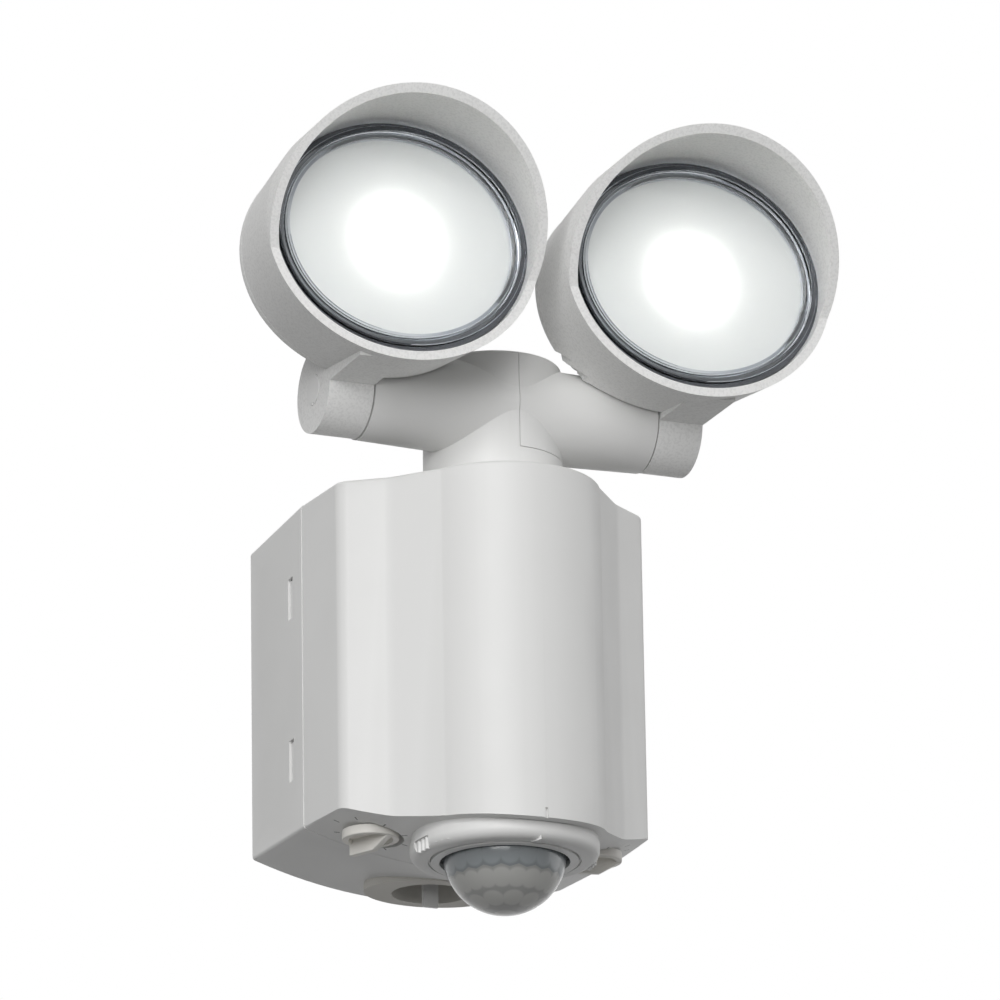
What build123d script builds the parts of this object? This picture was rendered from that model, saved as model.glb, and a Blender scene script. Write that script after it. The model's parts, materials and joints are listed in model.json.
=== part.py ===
from build123d import *
import math
import os

# Wall-mounted security light: a moulded housing with a swivelling motion sensor under it
# and two oval lamp heads on a turning neck above it. Sizes are in millimetres.
# Origin: middle of the housing's wall face. The wall is the plane y = 0, the front faces -Y,
# +Z is up and +X is to the right of someone who looks at the light.

# ---- Driving dimensions: housing ----
wall = 2.5                  # moulded wall of the housing and the neck
seam = 0.2                  # open seam between two mouldings
touch = 0.1                 # gap of two faces that slide on each other
running = 0.05              # radial clearance of a shaft in its bore
snug = 0.15                 # clearance of a part that drops into another
box_depth = 44.2            # wall face to the parting seam
box_half_w = 51.5           # half width at the wall face
box_half_h = 49.2           # half height of a side edge at the wall face
seam_half_w = 52.25         # the same two at the parting seam, wider by the draft
seam_half_h = 51.05
belly = 8.8                 # how far the underside bows below its side edges
edge_r = 1.2                # rounding of the long edges and of the cover's top edge
cover_side_half_w = 51.4    # half width of the cover where its side meets the shoulder
cover_side_depth = 69.9     # and that corner's distance from the wall
cover_corner_r = 5.5
shoulder_half_w = 37.5      # where the shoulder turns into the diagonal
shoulder_depth = 79.0
shoulder_blend_r = 12.0
crease_half_w = 26.0        # where the diagonal meets the round nose
crease_r = 3.0              # softening of that crease
nose_r = 29.8
nose_depth = 78.0           # centre of the nose arc
notch_w = 0.9               # index notch in the lower edge of the nose
notch_h = 3.0
lip_t = 1.4                 # locating lip of the cover inside the box
lip_depth = 3.0
gasket_w = 1.0              # square sealing cord in the rim of the box
gasket_h = 1.2
slot_depth = 34.6           # latch slots in the side walls, distance from the wall face
slot_w = 4.0
slot_h = 13.0
slot_upper_z = 24.0
slot_lower_z = -27.3
latch_t = 1.8
latch_play = 0.5
wall_hole_r = 2.3           # holes for the four wall screws
wall_hole_x = 38.0
wall_hole_z = 30.0
wall_boss_r = 5.0
wall_boss_h = 4.5

# ---- Driving dimensions: cable entry ----
entry_depth = 17.0          # oval bush, distance from the wall face
bush_half_w = 21.0
bush_half_d = 15.0
bush_groove = 2.6           # depth of the groove that grips the housing wall
bush_bottom_z = -59.8
bush_lip_h = 1.5            # inner lip above the housing wall
entry_half_w = 12.0         # the cable's hole
entry_half_d = 11.0
clamp_post_r = 3.2
clamp_t = 3.0
tongue_w = 5.0              # cable tie strap that hangs in the hole
tongue_t = 1.2
tongue_drop = 4.2

# ---- Driving dimensions: motion sensor ----
sensor_depth = 75.5         # sensor axis, distance from the wall face
bezel_r = 28.5
bezel_h = 5.0
bezel_round_r = 3.0
bezel_collar_r = 22.9
bezel_face_r = 23.0         # groove round the lens ring
lens_ring_r = 22.2
dome_r = 19.5
dome_t = 1.2
lens_ring_proud = 0.3
dome_rise = 2.6             # dome centre below the bezel's upper face
dome_flange_t = 1.0
facet_count = 20
facet_spread = 13.0         # half angle that one facet takes out of the sphere, degrees
facet_rows = ((14.0, 20, 0.0), (37.0, 20, 0.5), (60.0, 10, 0.25))
pad_z = -59.9               # flat pad of the cover that the bezel turns on
inner_pad_z = -54.5
retainer_r = 26.0
retainer_h = 2.0
detector_r = 4.6
detector_h = 4.0

# ---- Driving dimensions: setting knobs ----
knob_x = 36.4
knob_depth = 58.8
knob_r = 8.5
knob_t = 2.4
knob_recess_r = 10.0
knob_recess_z = -54.3
knob_shaft_r = 3.0
blade_w = 2.4
blade_drop = 7.0
blade_taper = 2.6
knob_boss_wall = 2.0

# ---- Driving dimensions: neck ----
neck_depth = 71.2
neck_r = 21.3
neck_top_z = 91.45
neck_edge_r = 1.5
collar_h = 9.6              # full ring under the split part of the neck
spigot_r = 12.9
spigot_bore_r = 10.0
spigot_drop = 10.0
clamp_ring_r = 18.0
clamp_ring_h = 2.6
seal_r = 17.0
seal_w = 2.0
arm_depth = 78.1            # arm and tilt axis
arm_z = 76.05
arm_root_r = 14.9
arm_end_r = 13.6
arm_bore_r = 11.0
pivot_x = 46.65             # middle of the gap between arm and head
pivot_gap = 0.5
washer_r = 9.0
washer_hole_r = 4.5
washer_t = 1.2
bolt_r = 3.0
bolt_head_r = 4.6
bolt_head_h = 3.0
nut_w = 10.0
nut_h = 4.0
screw_r = 1.5
screw_head_r = 2.6
screw_head_h = 1.8
neck_screw_depth = 57.5
neck_screw_z = (67.0, 84.0)
neck_screw_boss_r = 3.6

# ---- Driving dimensions: lamp heads ----
head_x = 48.3
head_z = 113.45
head_wall = 2.7
rim_depth = 119.5           # front rim, distance from the wall face
rim_half_w = 44.15
rim_half_h = 39.45
back_depth = 91.0           # joint between hood and back cover
back_half_w = 41.0
back_half_h = 36.3
back_cap = 5.5              # how far the back cover stands behind that joint
back_round_r = 4.5
back_wall = 2.4
visor_start = -9.65         # height, from the head's centre, where the visor leaves the rim
visor_reach = 24.0          # how far the visor stands out at its top
barrel_r = 13.3
barrel_end_x = 61.3
web_bottom_z = 75.0
web_top_z = 80.0
web_top_depth = 93.2
relief = 0.7                # room round the arm and the neck for the tilting head
neck_reliefs = ((17.0, 20.9), (22.2, 18.2))   # reach along the arm and radius
ledge_w = 3.0               # inner ledge that carries the lamp plate
ledge_t = 2.0
ledge_depth = 104.4
plate_t = 3.0
board_t = 1.6
led_board_r = 19.0
emitter_r = 8.6
emitter_t = 1.4
reflector_t = 1.2
lens_depth = 116.6          # front face of the clear disc
lens_t = 2.4
disc_half_w = 36.2
disc_half_h = 31.0
lens_rim_h = 2.2
lens_seal_t = 1.2
lens_seal_w = 2.4
lug_x = 23.0
lug_z = 18.2
lug_r = 3.7
lug_end = 80.5              # rear end of a screw lug, distance from the wall face
plug_r = 4.75
plug_t = 2.4

# ---- Driving dimensions: what the housing holds ----
driver_half_w = 42.0
driver_low_z = -28.0
driver_high_z = 38.0
driver_depth = 52.0
driver_screw_l = 8.0
post_r = 3.0
post_x = 38.0
control_half_w = 45.0
control_d = 28.0
control_rear = 42.0
control_post_depth = 66.0
control_z = -46.0
pot_w = 11.0
pot_h = 5.0
terminal_w = 30.0
terminal_d = 14.0
terminal_h = 16.0
terminal_z = -30.0

# ---- Derived places ----
seam_y = -box_depth
bezel_top_z = pad_z - touch
dome_z = bezel_top_z - dome_rise
arm_end_x = pivot_x - pivot_gap / 2
barrel_x = pivot_x + pivot_gap / 2
neck_bottom_z = seam_half_h + seam
collar_top_z = neck_bottom_z + collar_h
relief_r = arm_end_r + (arm_root_r - arm_end_r) * 0.5 + relief
cavity_half_w = back_half_w - head_wall
cavity_half_h = back_half_h - head_wall
ledge_half_w = cavity_half_w - ledge_w + 1.2
ledge_half_h = cavity_half_h - ledge_w + 1.2
bore_half_w = rim_half_w - head_wall
bore_half_h = rim_half_h - head_wall
lens_half_w = bore_half_w - snug
lens_half_h = bore_half_h - snug


# ---- Helpers ----
def facing(y, x=0.0, z=0.0):
    """Plane across the light at depth y: local x is +X, local y is +Z, its normal is -Y."""
    return Plane(origin=(x, y, z), x_dir=(1, 0, 0), z_dir=(0, -1, 0))


def level(z, x=0.0, y=0.0):
    """Level plane at height z, its normal up."""
    return Plane(origin=(x, y, z))


def across(x, y=0.0, z=0.0):
    """Plane across X: local x is +Y, local y is +Z, its normal is +X."""
    return Plane(origin=(x, y, z), x_dir=(0, 1, 0), z_dir=(1, 0, 0))


def bar(plane, radius, length):
    """Round bar of a length along the plane's normal."""
    return extrude(plane * Circle(radius), length)


def tube(plane, outer_r, inner_r, length):
    """Round tube of a length along the plane's normal."""
    return extrude(plane * (Circle(outer_r) - Circle(inner_r)), length)


def block(x0, x1, y0, y1, z0, z1):
    """Block between two corners."""
    solid = Box(x1 - x0, y1 - y0, z1 - z0, align=(Align.MIN, Align.MIN, Align.MIN))
    return Pos(x0, y0, z0) * solid


def oval(plane, half_w, half_h):
    """Oval face on a plane."""
    return plane * Ellipse(half_w, half_h)


def mirrored(solid):
    """The same piece on the other side of the light."""
    return mirror(solid, about=Plane.YZ)


# ---- Housing ----
def box_section(y, inset=0.0):
    """Outline across the housing at depth y: flat top and sides, bowed underside."""
    share = -y / box_depth
    half_w = box_half_w + (seam_half_w - box_half_w) * share
    half_h = box_half_h + (seam_half_h - box_half_h) * share
    bottom = ThreePointArc((half_w, -half_h), (0, -half_h - belly), (-half_w, -half_h))
    sides = Polyline((-half_w, -half_h), (-half_w, half_h), (half_w, half_h), (half_w, -half_h))
    face = make_face(bottom + sides)
    face = fillet(face.vertices(), edge_r)
    if inset:
        face = offset(face, -inset)
    return facing(y) * face


def underside_z(x, y=None):
    """Height of the bowed underside above a place, at the seam unless y is given."""
    share = 1.0 if y is None else min(1.0, -y / box_depth)
    half_w = box_half_w + (seam_half_w - box_half_w) * share
    half_h = box_half_h + (seam_half_h - box_half_h) * share
    radius = (half_w ** 2 + belly ** 2) / (2 * belly)
    return -half_h - belly + radius - math.sqrt(radius ** 2 - x ** 2)


def cover_plan(inset=0.0):
    """Plan of the cover, from behind the seam round the nose."""
    rear_y = seam_y + 2 * wall
    draft = (seam_half_w - cover_side_half_w) / (cover_side_depth - box_depth)
    crease_y = -nose_depth - math.sqrt(nose_r ** 2 - crease_half_w ** 2)
    side = [
        (seam_half_w + draft * (rear_y - seam_y), rear_y),
        (cover_side_half_w, -cover_side_depth),
        (shoulder_half_w, -shoulder_depth),
        (crease_half_w, crease_y),
    ]
    other = [(-x, y) for x, y in reversed(side)]
    nose = ThreePointArc(side[-1], (0, -nose_depth - nose_r), other[0])
    face = make_face(Polyline(*side) + nose + Polyline(*other) + Line(other[-1], side[0]))
    corners = face.vertices().filter_by(lambda v: abs(v.Y + cover_side_depth) < 0.01)
    face = fillet(corners, cover_corner_r)
    blends = face.vertices().filter_by(lambda v: abs(v.Y + shoulder_depth) < 0.01)
    face = fillet(blends, shoulder_blend_r)
    creases = face.vertices().filter_by(lambda v: abs(v.Y - crease_y) < 0.01)
    face = fillet(creases, crease_r)
    if inset:
        face = offset(face, -inset)
    return level(-100) * face


def cover_form(inset=0.0):
    """Solid form of the cover: its plan, rounded along the top, meets the housing's section."""
    plan = extrude(cover_plan(inset), 100 + seam_half_h - inset)
    if not inset:
        top = plan.faces().sort_by(Axis.Z)[-1]
        plan = fillet(top.edges().sort_by(Axis.Y)[:-1], edge_r)
    section = extrude(box_section(seam_y, inset), 80)
    return plan & section


def latch_places():
    """Side and height of each latch."""
    return [(side, z) for side in (-1, 1) for z in (slot_lower_z, slot_upper_z)]


def make_rear_box():
    body = loft([box_section(0), box_section(seam_y)], ruled=True)
    room = loft([box_section(-wall, wall), box_section(seam_y, wall)], ruled=True)
    body -= room
    for x in (-wall_hole_x, wall_hole_x):
        for z in (-wall_hole_z, wall_hole_z):
            body += bar(facing(-wall, x, z), wall_boss_r, wall_boss_h)
            body -= bar(facing(0, x, z), wall_hole_r, wall + wall_boss_h)
    for side, z in latch_places():
        edge_x = side * seam_half_w
        slot = Box(4 * wall, slot_w, slot_h)
        body -= Pos(edge_x, -slot_depth, z) * slot
    rest_z = terminal_z - terminal_h / 2
    shelf = block(-terminal_w / 2, terminal_w / 2, -terminal_d - wall, -wall, rest_z - wall, rest_z)
    body += shelf
    groove_face = box_section(seam_y, (wall - gasket_w) / 2)
    groove_core = box_section(seam_y, (wall + gasket_w) / 2)
    body -= extrude(groove_face - groove_core, -gasket_h)
    hole = oval(level(-80, 0, -entry_depth), bush_half_w - bush_groove, bush_half_d - bush_groove)
    body -= extrude(hole, 40)
    for x in clamp_screw_x():
        low = underside_z(x, -entry_depth) + wall / 2
        body += bar(level(low, x, -entry_depth), clamp_post_r, clamp_top_z() - low)
        body -= bar(level(clamp_top_z() - clamp_t, x, -entry_depth), screw_r, clamp_t)
    return body


def make_gasket():
    outer = box_section(seam_y, (wall - gasket_w) / 2)
    inner = box_section(seam_y, (wall + gasket_w) / 2)
    return extrude(outer - inner, -gasket_h)


def knob_places():
    return [(-knob_x, -knob_depth), (knob_x, -knob_depth)]


def make_cover_catches():
    """Locating lip round the rim of the cover with its four latches, which reach into the box."""
    rim_y = seam_y - seam
    inside = box_section(rim_y, wall + snug + lip_t)
    catches = extrude(box_section(rim_y, wall + snug) - inside, -lip_depth - seam)
    catches += extrude(box_section(rim_y, wall / 2) - inside, lip_t)
    front = -slot_depth - slot_w / 2 + latch_play
    rear = -slot_depth + slot_w / 2 - latch_play
    half_h = slot_h / 2 - latch_play
    outer_x = box_half_w - wall - snug
    for side, z in latch_places():
        arm = block(outer_x - latch_t, outer_x, rim_y - lip_t, rear, z - half_h, z + half_h)
        nib = block(outer_x - touch, outer_x + wall, front, rear, z - half_h, z + half_h)
        catches += arm + nib if side > 0 else mirrored(arm + nib)
    return catches


def make_front_cover():
    """Moulded cover: round nose, diagonals and shoulders, pads and bosses inside."""
    form = cover_form()
    room = cover_form(wall)
    cover = form - room - extrude(box_section(seam_y), seam)
    cover += make_cover_catches()
    # Bosses and posts are trimmed to the outside form, so none stands out of it.
    inner = bar(level(pad_z - 5, 0, -sensor_depth), bezel_r - 0.5, inner_pad_z - pad_z + 5)
    for x, y in knob_places():
        inner += bar(level(-70, x, y), knob_recess_r + wall, 70 + knob_recess_z + knob_boss_wall)
    for x in (-post_x, post_x):
        inner += bar(level(-70, x, -control_post_depth), post_r, 70 + control_z)
        for z in (driver_low_z + 4, driver_high_z - 4):
            inner += bar(facing(-driver_depth - board_t, x, z), post_r, 60)
    cover += inner & form
    for x in (-post_x, post_x):
        for z in (driver_low_z + 4, driver_high_z - 4):
            cover -= bar(facing(-driver_depth - board_t, x, z), screw_r, driver_screw_l - board_t)
    # Flat pad under the bowed underside for the bezel to turn on.
    low = underside_z(0) - 5
    pad_top = underside_z(bezel_r) + 1
    cover += bar(level(pad_z, 0, -sensor_depth), bezel_r - 0.5, pad_top - pad_z)
    cover -= bar(level(low, 0, -sensor_depth), bezel_r + 2, pad_z - low)
    cover -= bar(level(-80, 0, -sensor_depth), bezel_collar_r + running, 40)
    for x, y in knob_places():
        cover -= bar(level(-80, x, y), knob_recess_r, 80 + knob_recess_z)
        cover -= bar(level(-80, x, y), knob_shaft_r + running, 40)
    cover -= bar(level(40, 0, -neck_depth), spigot_r + running, 20)
    nose_y = -nose_depth - nose_r
    cover -= block(-notch_w / 2, notch_w / 2, nose_y - 1, nose_y + 0.8, low, low + 5 + notch_h)
    return cover


# ---- Cable entry ----
def make_bush(box):
    """Rubber bush whose groove grips the wall of the box."""
    high = underside_z(bush_half_w, -entry_depth) + wall + bush_lip_h
    outer = oval(level(bush_bottom_z, 0, -entry_depth), bush_half_w, bush_half_d)
    body = extrude(outer, high - bush_bottom_z)
    hole = oval(level(bush_bottom_z, 0, -entry_depth), entry_half_w, entry_half_d)
    body -= extrude(hole, high - bush_bottom_z)
    return (body - box).solids().sort_by(SortBy.VOLUME)[-1]


def clamp_top_z():
    """Underside of the cable clamp, on the inner lip of the bush."""
    return underside_z(bush_half_w, -entry_depth) + wall + bush_lip_h


def make_cable_clamp():
    """Clamp bar over the cable hole with its strap hanging in the hole."""
    z = clamp_top_z()
    half = bush_half_w + 2 * clamp_post_r
    bar_d = clamp_post_r
    body = block(-half, half, -entry_depth - bar_d, -entry_depth + bar_d, z, z + clamp_t)
    low = bush_bottom_z - tongue_drop
    x = -entry_half_w / 2
    body += block(x - tongue_w / 2, x + tongue_w / 2, -entry_depth - tongue_t / 2,
                  -entry_depth + tongue_t / 2, low, z + 1)
    for x in clamp_screw_x():
        body -= bar(level(z - 1, x, -entry_depth), screw_r + touch, 2 * clamp_t)
    return body


def clamp_screw_x():
    """Places of the clamp's screws, outside the bush."""
    return (-bush_half_w - clamp_post_r - snug, bush_half_w + clamp_post_r + snug)


def screw(plane, length):
    """Screw whose head stands on the plane and whose shank runs against its normal."""
    head = bar(plane, screw_head_r, screw_head_h)
    shank = extrude(plane * Circle(screw_r), -length)
    slot = extrude(plane.offset(screw_head_h) * Rectangle(2 * screw_head_r, 0.6), -0.8)
    return head + shank - slot


def make_clamp_screws():
    z = clamp_top_z() + clamp_t
    return [screw(level(z, x, -entry_depth), 2 * clamp_t) for x in clamp_screw_x()]


# ---- Motion sensor ----
def make_bezel():
    """Turning ring of the sensor, with its collar through the cover and two finger grips."""
    base = level(bezel_top_z, 0, -sensor_depth)
    low = bezel_top_z - bezel_h
    body = extrude(base * Circle(bezel_r), -bezel_h)
    body = fillet(body.edges().sort_by(Axis.Z)[0], bezel_round_r)
    body += bar(base, bezel_collar_r, inner_pad_z - bezel_top_z + touch + retainer_h)
    body -= bar(level(low, 0, -sensor_depth), lens_ring_r + snug, bezel_h - wall)
    body -= bar(level(low, 0, -sensor_depth), bezel_face_r, 0.6)
    body -= bar(level(low - 1, 0, -sensor_depth), dome_r + touch, 40)
    for angle in (200, 205, 210, 330, 335, 340):
        grip = Pos(0, -sensor_depth, low + bezel_round_r) * Rot(0, 0, angle)
        body += grip * Pos(bezel_r - 1.4, 0, 0) * Cylinder(0.9, 2 * bezel_round_r - 2.2)
    return body


def make_lens_ring():
    """Ring that holds the dome in the bezel."""
    low = bezel_top_z - bezel_h - lens_ring_proud
    high = bezel_top_z - wall - dome_flange_t
    return tube(level(low, 0, -sensor_depth), lens_ring_r, dome_r + touch, high - low)


def faceted(radius):
    """Ball with rows of flat facets, each round-topped where it meets the ball."""
    ball = Sphere(radius)
    near = radius * math.cos(math.radians(facet_spread))
    for tilt, count, phase in facet_rows:
        slope = math.radians(tilt)
        tip_z = -near / math.sin(slope) + 1
        sections = []
        for z in (max(tip_z, -2 * radius), radius):
            reach = (near + z * math.sin(slope)) / math.cos(slope)
            turn = 360 / count * phase
            outline = RegularPolygon(reach, count, major_radius=False, rotation=turn)
            sections.append(level(z) * outline)
        ball &= loft(sections, ruled=True)
    return ball


def make_dome():
    """Dome of lens facets, a thin shell with a flange behind the lens ring."""
    place = Pos(0, -sensor_depth, dome_z)
    below = Pos(0, 0, -25) * Cylinder(2 * dome_r, 50)
    shell = (faceted(dome_r) & below) - Sphere(dome_r - dome_t)
    skirt = tube(level(0), dome_r, dome_r - dome_t, dome_rise - wall + dome_t)
    flange = tube(level(dome_rise - wall), lens_ring_r, dome_r - 0.5, -dome_flange_t)
    return place * (shell + skirt + flange)


def make_retainer():
    z = inner_pad_z + touch
    return tube(level(z, 0, -sensor_depth), retainer_r, bezel_collar_r, retainer_h)


def make_sensor_board():
    z = dome_z + dome_rise - wall + dome_t
    return bar(level(z, 0, -sensor_depth), dome_r - 0.2, board_t)


def make_detector():
    z = dome_z + dome_rise - wall + dome_t
    can = bar(level(z - detector_h, 0, -sensor_depth), detector_r, detector_h)
    window = Pos(0, -sensor_depth, z - detector_h) * Box(4, 3, 0.6)
    return can - window


# ---- Setting knobs ----
def make_knob(x, y):
    """Disc with a hanging pointer blade and a shaft up into its potentiometer."""
    top = knob_recess_z - touch
    body = extrude(level(top, x, y) * Circle(knob_r), -knob_t)
    body = fillet(body.edges().sort_by(Axis.Z)[0], 0.5)
    low = top - knob_t
    side = Polyline((-knob_r + 0.4, 0.5), (-knob_r + 0.6, -1.5), (-knob_r + blade_taper, -blade_drop),
                    (knob_r - blade_taper, -blade_drop), (knob_r - 0.6, -1.5), (knob_r - 0.4, 0.5),
                    (-knob_r + 0.4, 0.5))
    plane = Plane(origin=(x, y + blade_w / 2, low), x_dir=(1, 0, 0), z_dir=(0, -1, 0))
    body += extrude(plane * make_face(side), blade_w)
    body += bar(level(top, x, y), knob_shaft_r, control_z - top - 0.3)
    return body


def make_pot(x, y):
    return block(x - pot_w / 2, x + pot_w / 2, y - pot_w / 2, y + pot_w / 2, control_z + board_t,
                 control_z + board_t + pot_h)


# ---- Boards in the housing ----
def make_control_board():
    """Level board over the knobs, cut round the sensor's collar."""
    rear = -control_rear
    body = block(-control_half_w, control_half_w, rear - control_d, rear, control_z, control_z + board_t)
    body -= bar(level(control_z - 1, 0, -sensor_depth), retainer_r + 1, 5)
    return body


def make_driver_board():
    """Upright board that carries the power supply."""
    plane = -driver_depth
    body = block(-driver_half_w, driver_half_w, plane - board_t, plane, driver_low_z, driver_high_z)
    for x in (-post_x, post_x):
        for z in (driver_low_z + 4, driver_high_z - 4):
            body -= bar(facing(plane + 1, x, z), screw_r + touch, 5)
    return body


def make_driver_screws():
    spots = [(x, z) for x in (-post_x, post_x) for z in (driver_low_z + 4, driver_high_z - 4)]
    return [screw(Plane(origin=(x, -driver_depth, z), z_dir=(0, 1, 0)), driver_screw_l)
            for x, z in spots]


def make_transformer():
    """Laminated core with its winding, on the rear of the driver board."""
    y = -driver_depth
    core = block(-14, 14, y, y + 20, -12, 14)
    coil = block(-9, 9, y + 20, y + 24, -8, 10)
    body = core + coil
    for z in (-12, 8):
        body -= block(-15, -9, y + 4, y + 21, z + 2, z + 4)
    return fillet(body.edges().filter_by(Axis.Y).group_by(SortBy.LENGTH)[-1], 0.8)


def make_capacitor():
    body = bar(Plane(origin=(26, -driver_depth, 14), z_dir=(0, 1, 0)), 8.0, 22)
    return fillet(body.edges().sort_by(Axis.Y)[-1], 1.0)


def make_relay():
    y = -driver_depth
    body = block(-36, -19, y, y + 16, -4, 16)
    return fillet(body.edges().filter_by(Axis.Y), 1.0)


def make_terminal_block():
    """Three-way terminal block on the shelf of the box."""
    z0 = terminal_z - terminal_h / 2
    y1 = -wall
    body = block(-terminal_w / 2, terminal_w / 2, y1 - terminal_d, y1, z0, z0 + terminal_h)
    for x in (-9, 0, 9):
        body -= bar(facing(y1 - terminal_d + 6, x, terminal_z + 3), screw_head_r, 8)
        body -= bar(facing(y1 - terminal_d + 9, x, terminal_z + 3), screw_r, 4)
        body -= bar(Plane(origin=(x, -terminal_d / 2 - wall, z0 - 1)), 2.0, terminal_h - 6)
    return body


def make_terminal_screws():
    y = -wall - terminal_d + 6
    return [screw(facing(y, x, terminal_z + 3), 3) for x in (-9, 0, 9)]


# ---- Neck ----
def neck_form():
    """Outside of the neck with both arms."""
    height = neck_top_z - neck_bottom_z
    post = extrude(level(neck_bottom_z, 0, -neck_depth) * Circle(neck_r), height)
    post = fillet(post.edges().sort_by(Axis.Z)[-1], neck_edge_r)
    for side in (-1, 1):
        plane = Plane(origin=(0, -arm_depth, arm_z), x_dir=(0, 1, 0), z_dir=(side, 0, 0))
        sections = [plane * Circle(arm_root_r), plane.offset(arm_end_x) * Circle(arm_end_r)]
        post += loft(sections, ruled=True)
    return post


def neck_room():
    """Space inside the neck and its arms for the leads."""
    room = bar(level(neck_bottom_z + wall, 0, -neck_depth), neck_r - wall,
               neck_top_z - neck_bottom_z - 2 * wall)
    length = 2 * (arm_end_x - wall - washer_t)
    room += bar(across(-length / 2, -arm_depth, arm_z), arm_bore_r, length)
    return room


def neck_shell():
    shell = neck_form() - neck_room()
    for z in neck_screw_z:
        boss = bar(across(-neck_r, -neck_screw_depth, z), neck_screw_boss_r, 2 * neck_r)
        shell += boss & neck_form()
    for side in (-1, 1):
        end = Plane(origin=(side * arm_end_x, -arm_depth, arm_z), x_dir=(0, 1, 0), z_dir=(-side, 0, 0))
        shell -= bar(end, washer_r + touch, washer_t - pivot_gap + touch)
        shell -= bar(end, bolt_r + touch, 10)
    return shell


def split_form(inset):
    """Space of the right half of the neck, above the collar."""
    return block(inset, 80, -120, -40, collar_top_z + inset, 120)


def make_neck_left():
    body = neck_shell() - split_form(-seam / 2)
    body += tube(level(neck_bottom_z + wall, 0, -neck_depth), spigot_r, spigot_bore_r,
                 -(neck_bottom_z + wall - seam_half_h + spigot_drop))
    body -= bar(level(30, 0, -neck_depth), spigot_bore_r, neck_bottom_z + wall - 30)
    groove = tube(level(neck_bottom_z, 0, -neck_depth), seal_r, seal_r - seal_w, seal_w / 2)
    body -= groove
    for z in neck_screw_z:
        body -= bar(across(-neck_screw_reach(), -neck_screw_depth, z), screw_r, 40)
    return body


def neck_screw_reach():
    """How far the joining screws reach to each side of the seam."""
    return 9.0


def make_neck_right():
    body = neck_shell() & split_form(seam / 2)
    reach = neck_screw_reach()
    for z in neck_screw_z:
        body -= bar(across(-1, -neck_screw_depth, z), screw_r + touch, 40)
        body -= bar(across(reach, -neck_screw_depth, z), screw_head_r + touch, 40)
    return body


def make_neck_screws():
    reach = neck_screw_reach()
    return [screw(across(reach, -neck_screw_depth, z), 2 * reach - 1) for z in neck_screw_z]


def make_neck_seal():
    plane = level(seam_half_h + touch, 0, -neck_depth)
    return tube(plane, seal_r, seal_r - seal_w, neck_bottom_z + seal_w / 2 - seam_half_h - touch)


def make_neck_clamp():
    """Ring on the spigot that holds the neck down under the cover's top wall."""
    top = seam_half_h - wall - touch
    body = tube(level(top, 0, -neck_depth), clamp_ring_r, spigot_r, -clamp_ring_h)
    return body


def make_pivot_washer(side):
    start = side * (arm_end_x - washer_t + pivot_gap - touch)
    plane = Plane(origin=(start, -arm_depth, arm_z), z_dir=(side, 0, 0))
    return tube(plane, washer_r, washer_hole_r, washer_t)


def bolt_seat_x():
    """Where the pivot bolt's head bears inside the barrel."""
    return barrel_end_x - plug_t - bolt_head_h - 2.0


def make_pivot_bolt(side):
    seat = side * (bolt_seat_x() + touch)
    head = Plane(origin=(seat, -arm_depth, arm_z), z_dir=(side, 0, 0))
    length = bolt_seat_x() - arm_end_x + washer_t + wall + nut_h + 1
    body = bar(head, bolt_head_r, bolt_head_h) + extrude(head * Circle(bolt_r), -length)
    socket = extrude(head.offset(bolt_head_h) * RegularPolygon(2.5, 6), -2)
    return body - socket


def make_pivot_nut(side):
    inner = side * (arm_end_x - wall - washer_t)
    plane = Plane(origin=(inner, -arm_depth, arm_z), z_dir=(-side, 0, 0))
    hexagon = RegularPolygon(nut_w / 2, 6, major_radius=False)
    return extrude(plane * (hexagon - Circle(bolt_r)), nut_h)


# ---- Lamp heads: the right head is made, the left one is its mirror image ----
def head_oval(y, half_w, half_h):
    return oval(facing(y, head_x, head_z), half_w, half_h)


def hood_tube(front_w, front_h, back_w, back_h):
    """Body of the hood between the back joint and the front rim."""
    return loft([head_oval(-back_depth, back_w, back_h), head_oval(-rim_depth, front_w, front_h)],
                ruled=True)


def visor():
    """Slanted visor: the rim's oval carried forward and cut by a leaning plane."""
    ring = head_oval(-rim_depth, rim_half_w, rim_half_h) - head_oval(-rim_depth, bore_half_w, bore_half_h)
    sleeve = extrude(ring, visor_reach + 2)
    slope = visor_reach / (rim_half_h - visor_start)
    over = 2.0
    outline = Polyline((-rim_depth, visor_start), (-rim_depth, rim_half_h + over),
                       (-rim_depth - slope * (rim_half_h + over - visor_start), rim_half_h + over),
                       (-rim_depth, visor_start))
    wedge = extrude(across(head_x - rim_half_w - over, 0, head_z) * make_face(outline),
                    2 * (rim_half_w + over))
    return sleeve & wedge


def relief_form(extra=0.0):
    """Room round the arm and the neck that the head's inner rear corner leaves free."""
    arm = bar(across(-1, -arm_depth, arm_z), relief_r + extra, pivot_x + 1 + pivot_gap / 2)
    for reach, radius in neck_reliefs:
        arm += bar(across(-1, -arm_depth, arm_z), radius + extra, reach + 1 + extra)
    return arm


def barrel_form(extra=0.0):
    length = barrel_end_x - barrel_x
    return bar(across(barrel_x - extra, -arm_depth, arm_z), barrel_r + extra, length + 2 * extra)


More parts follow.
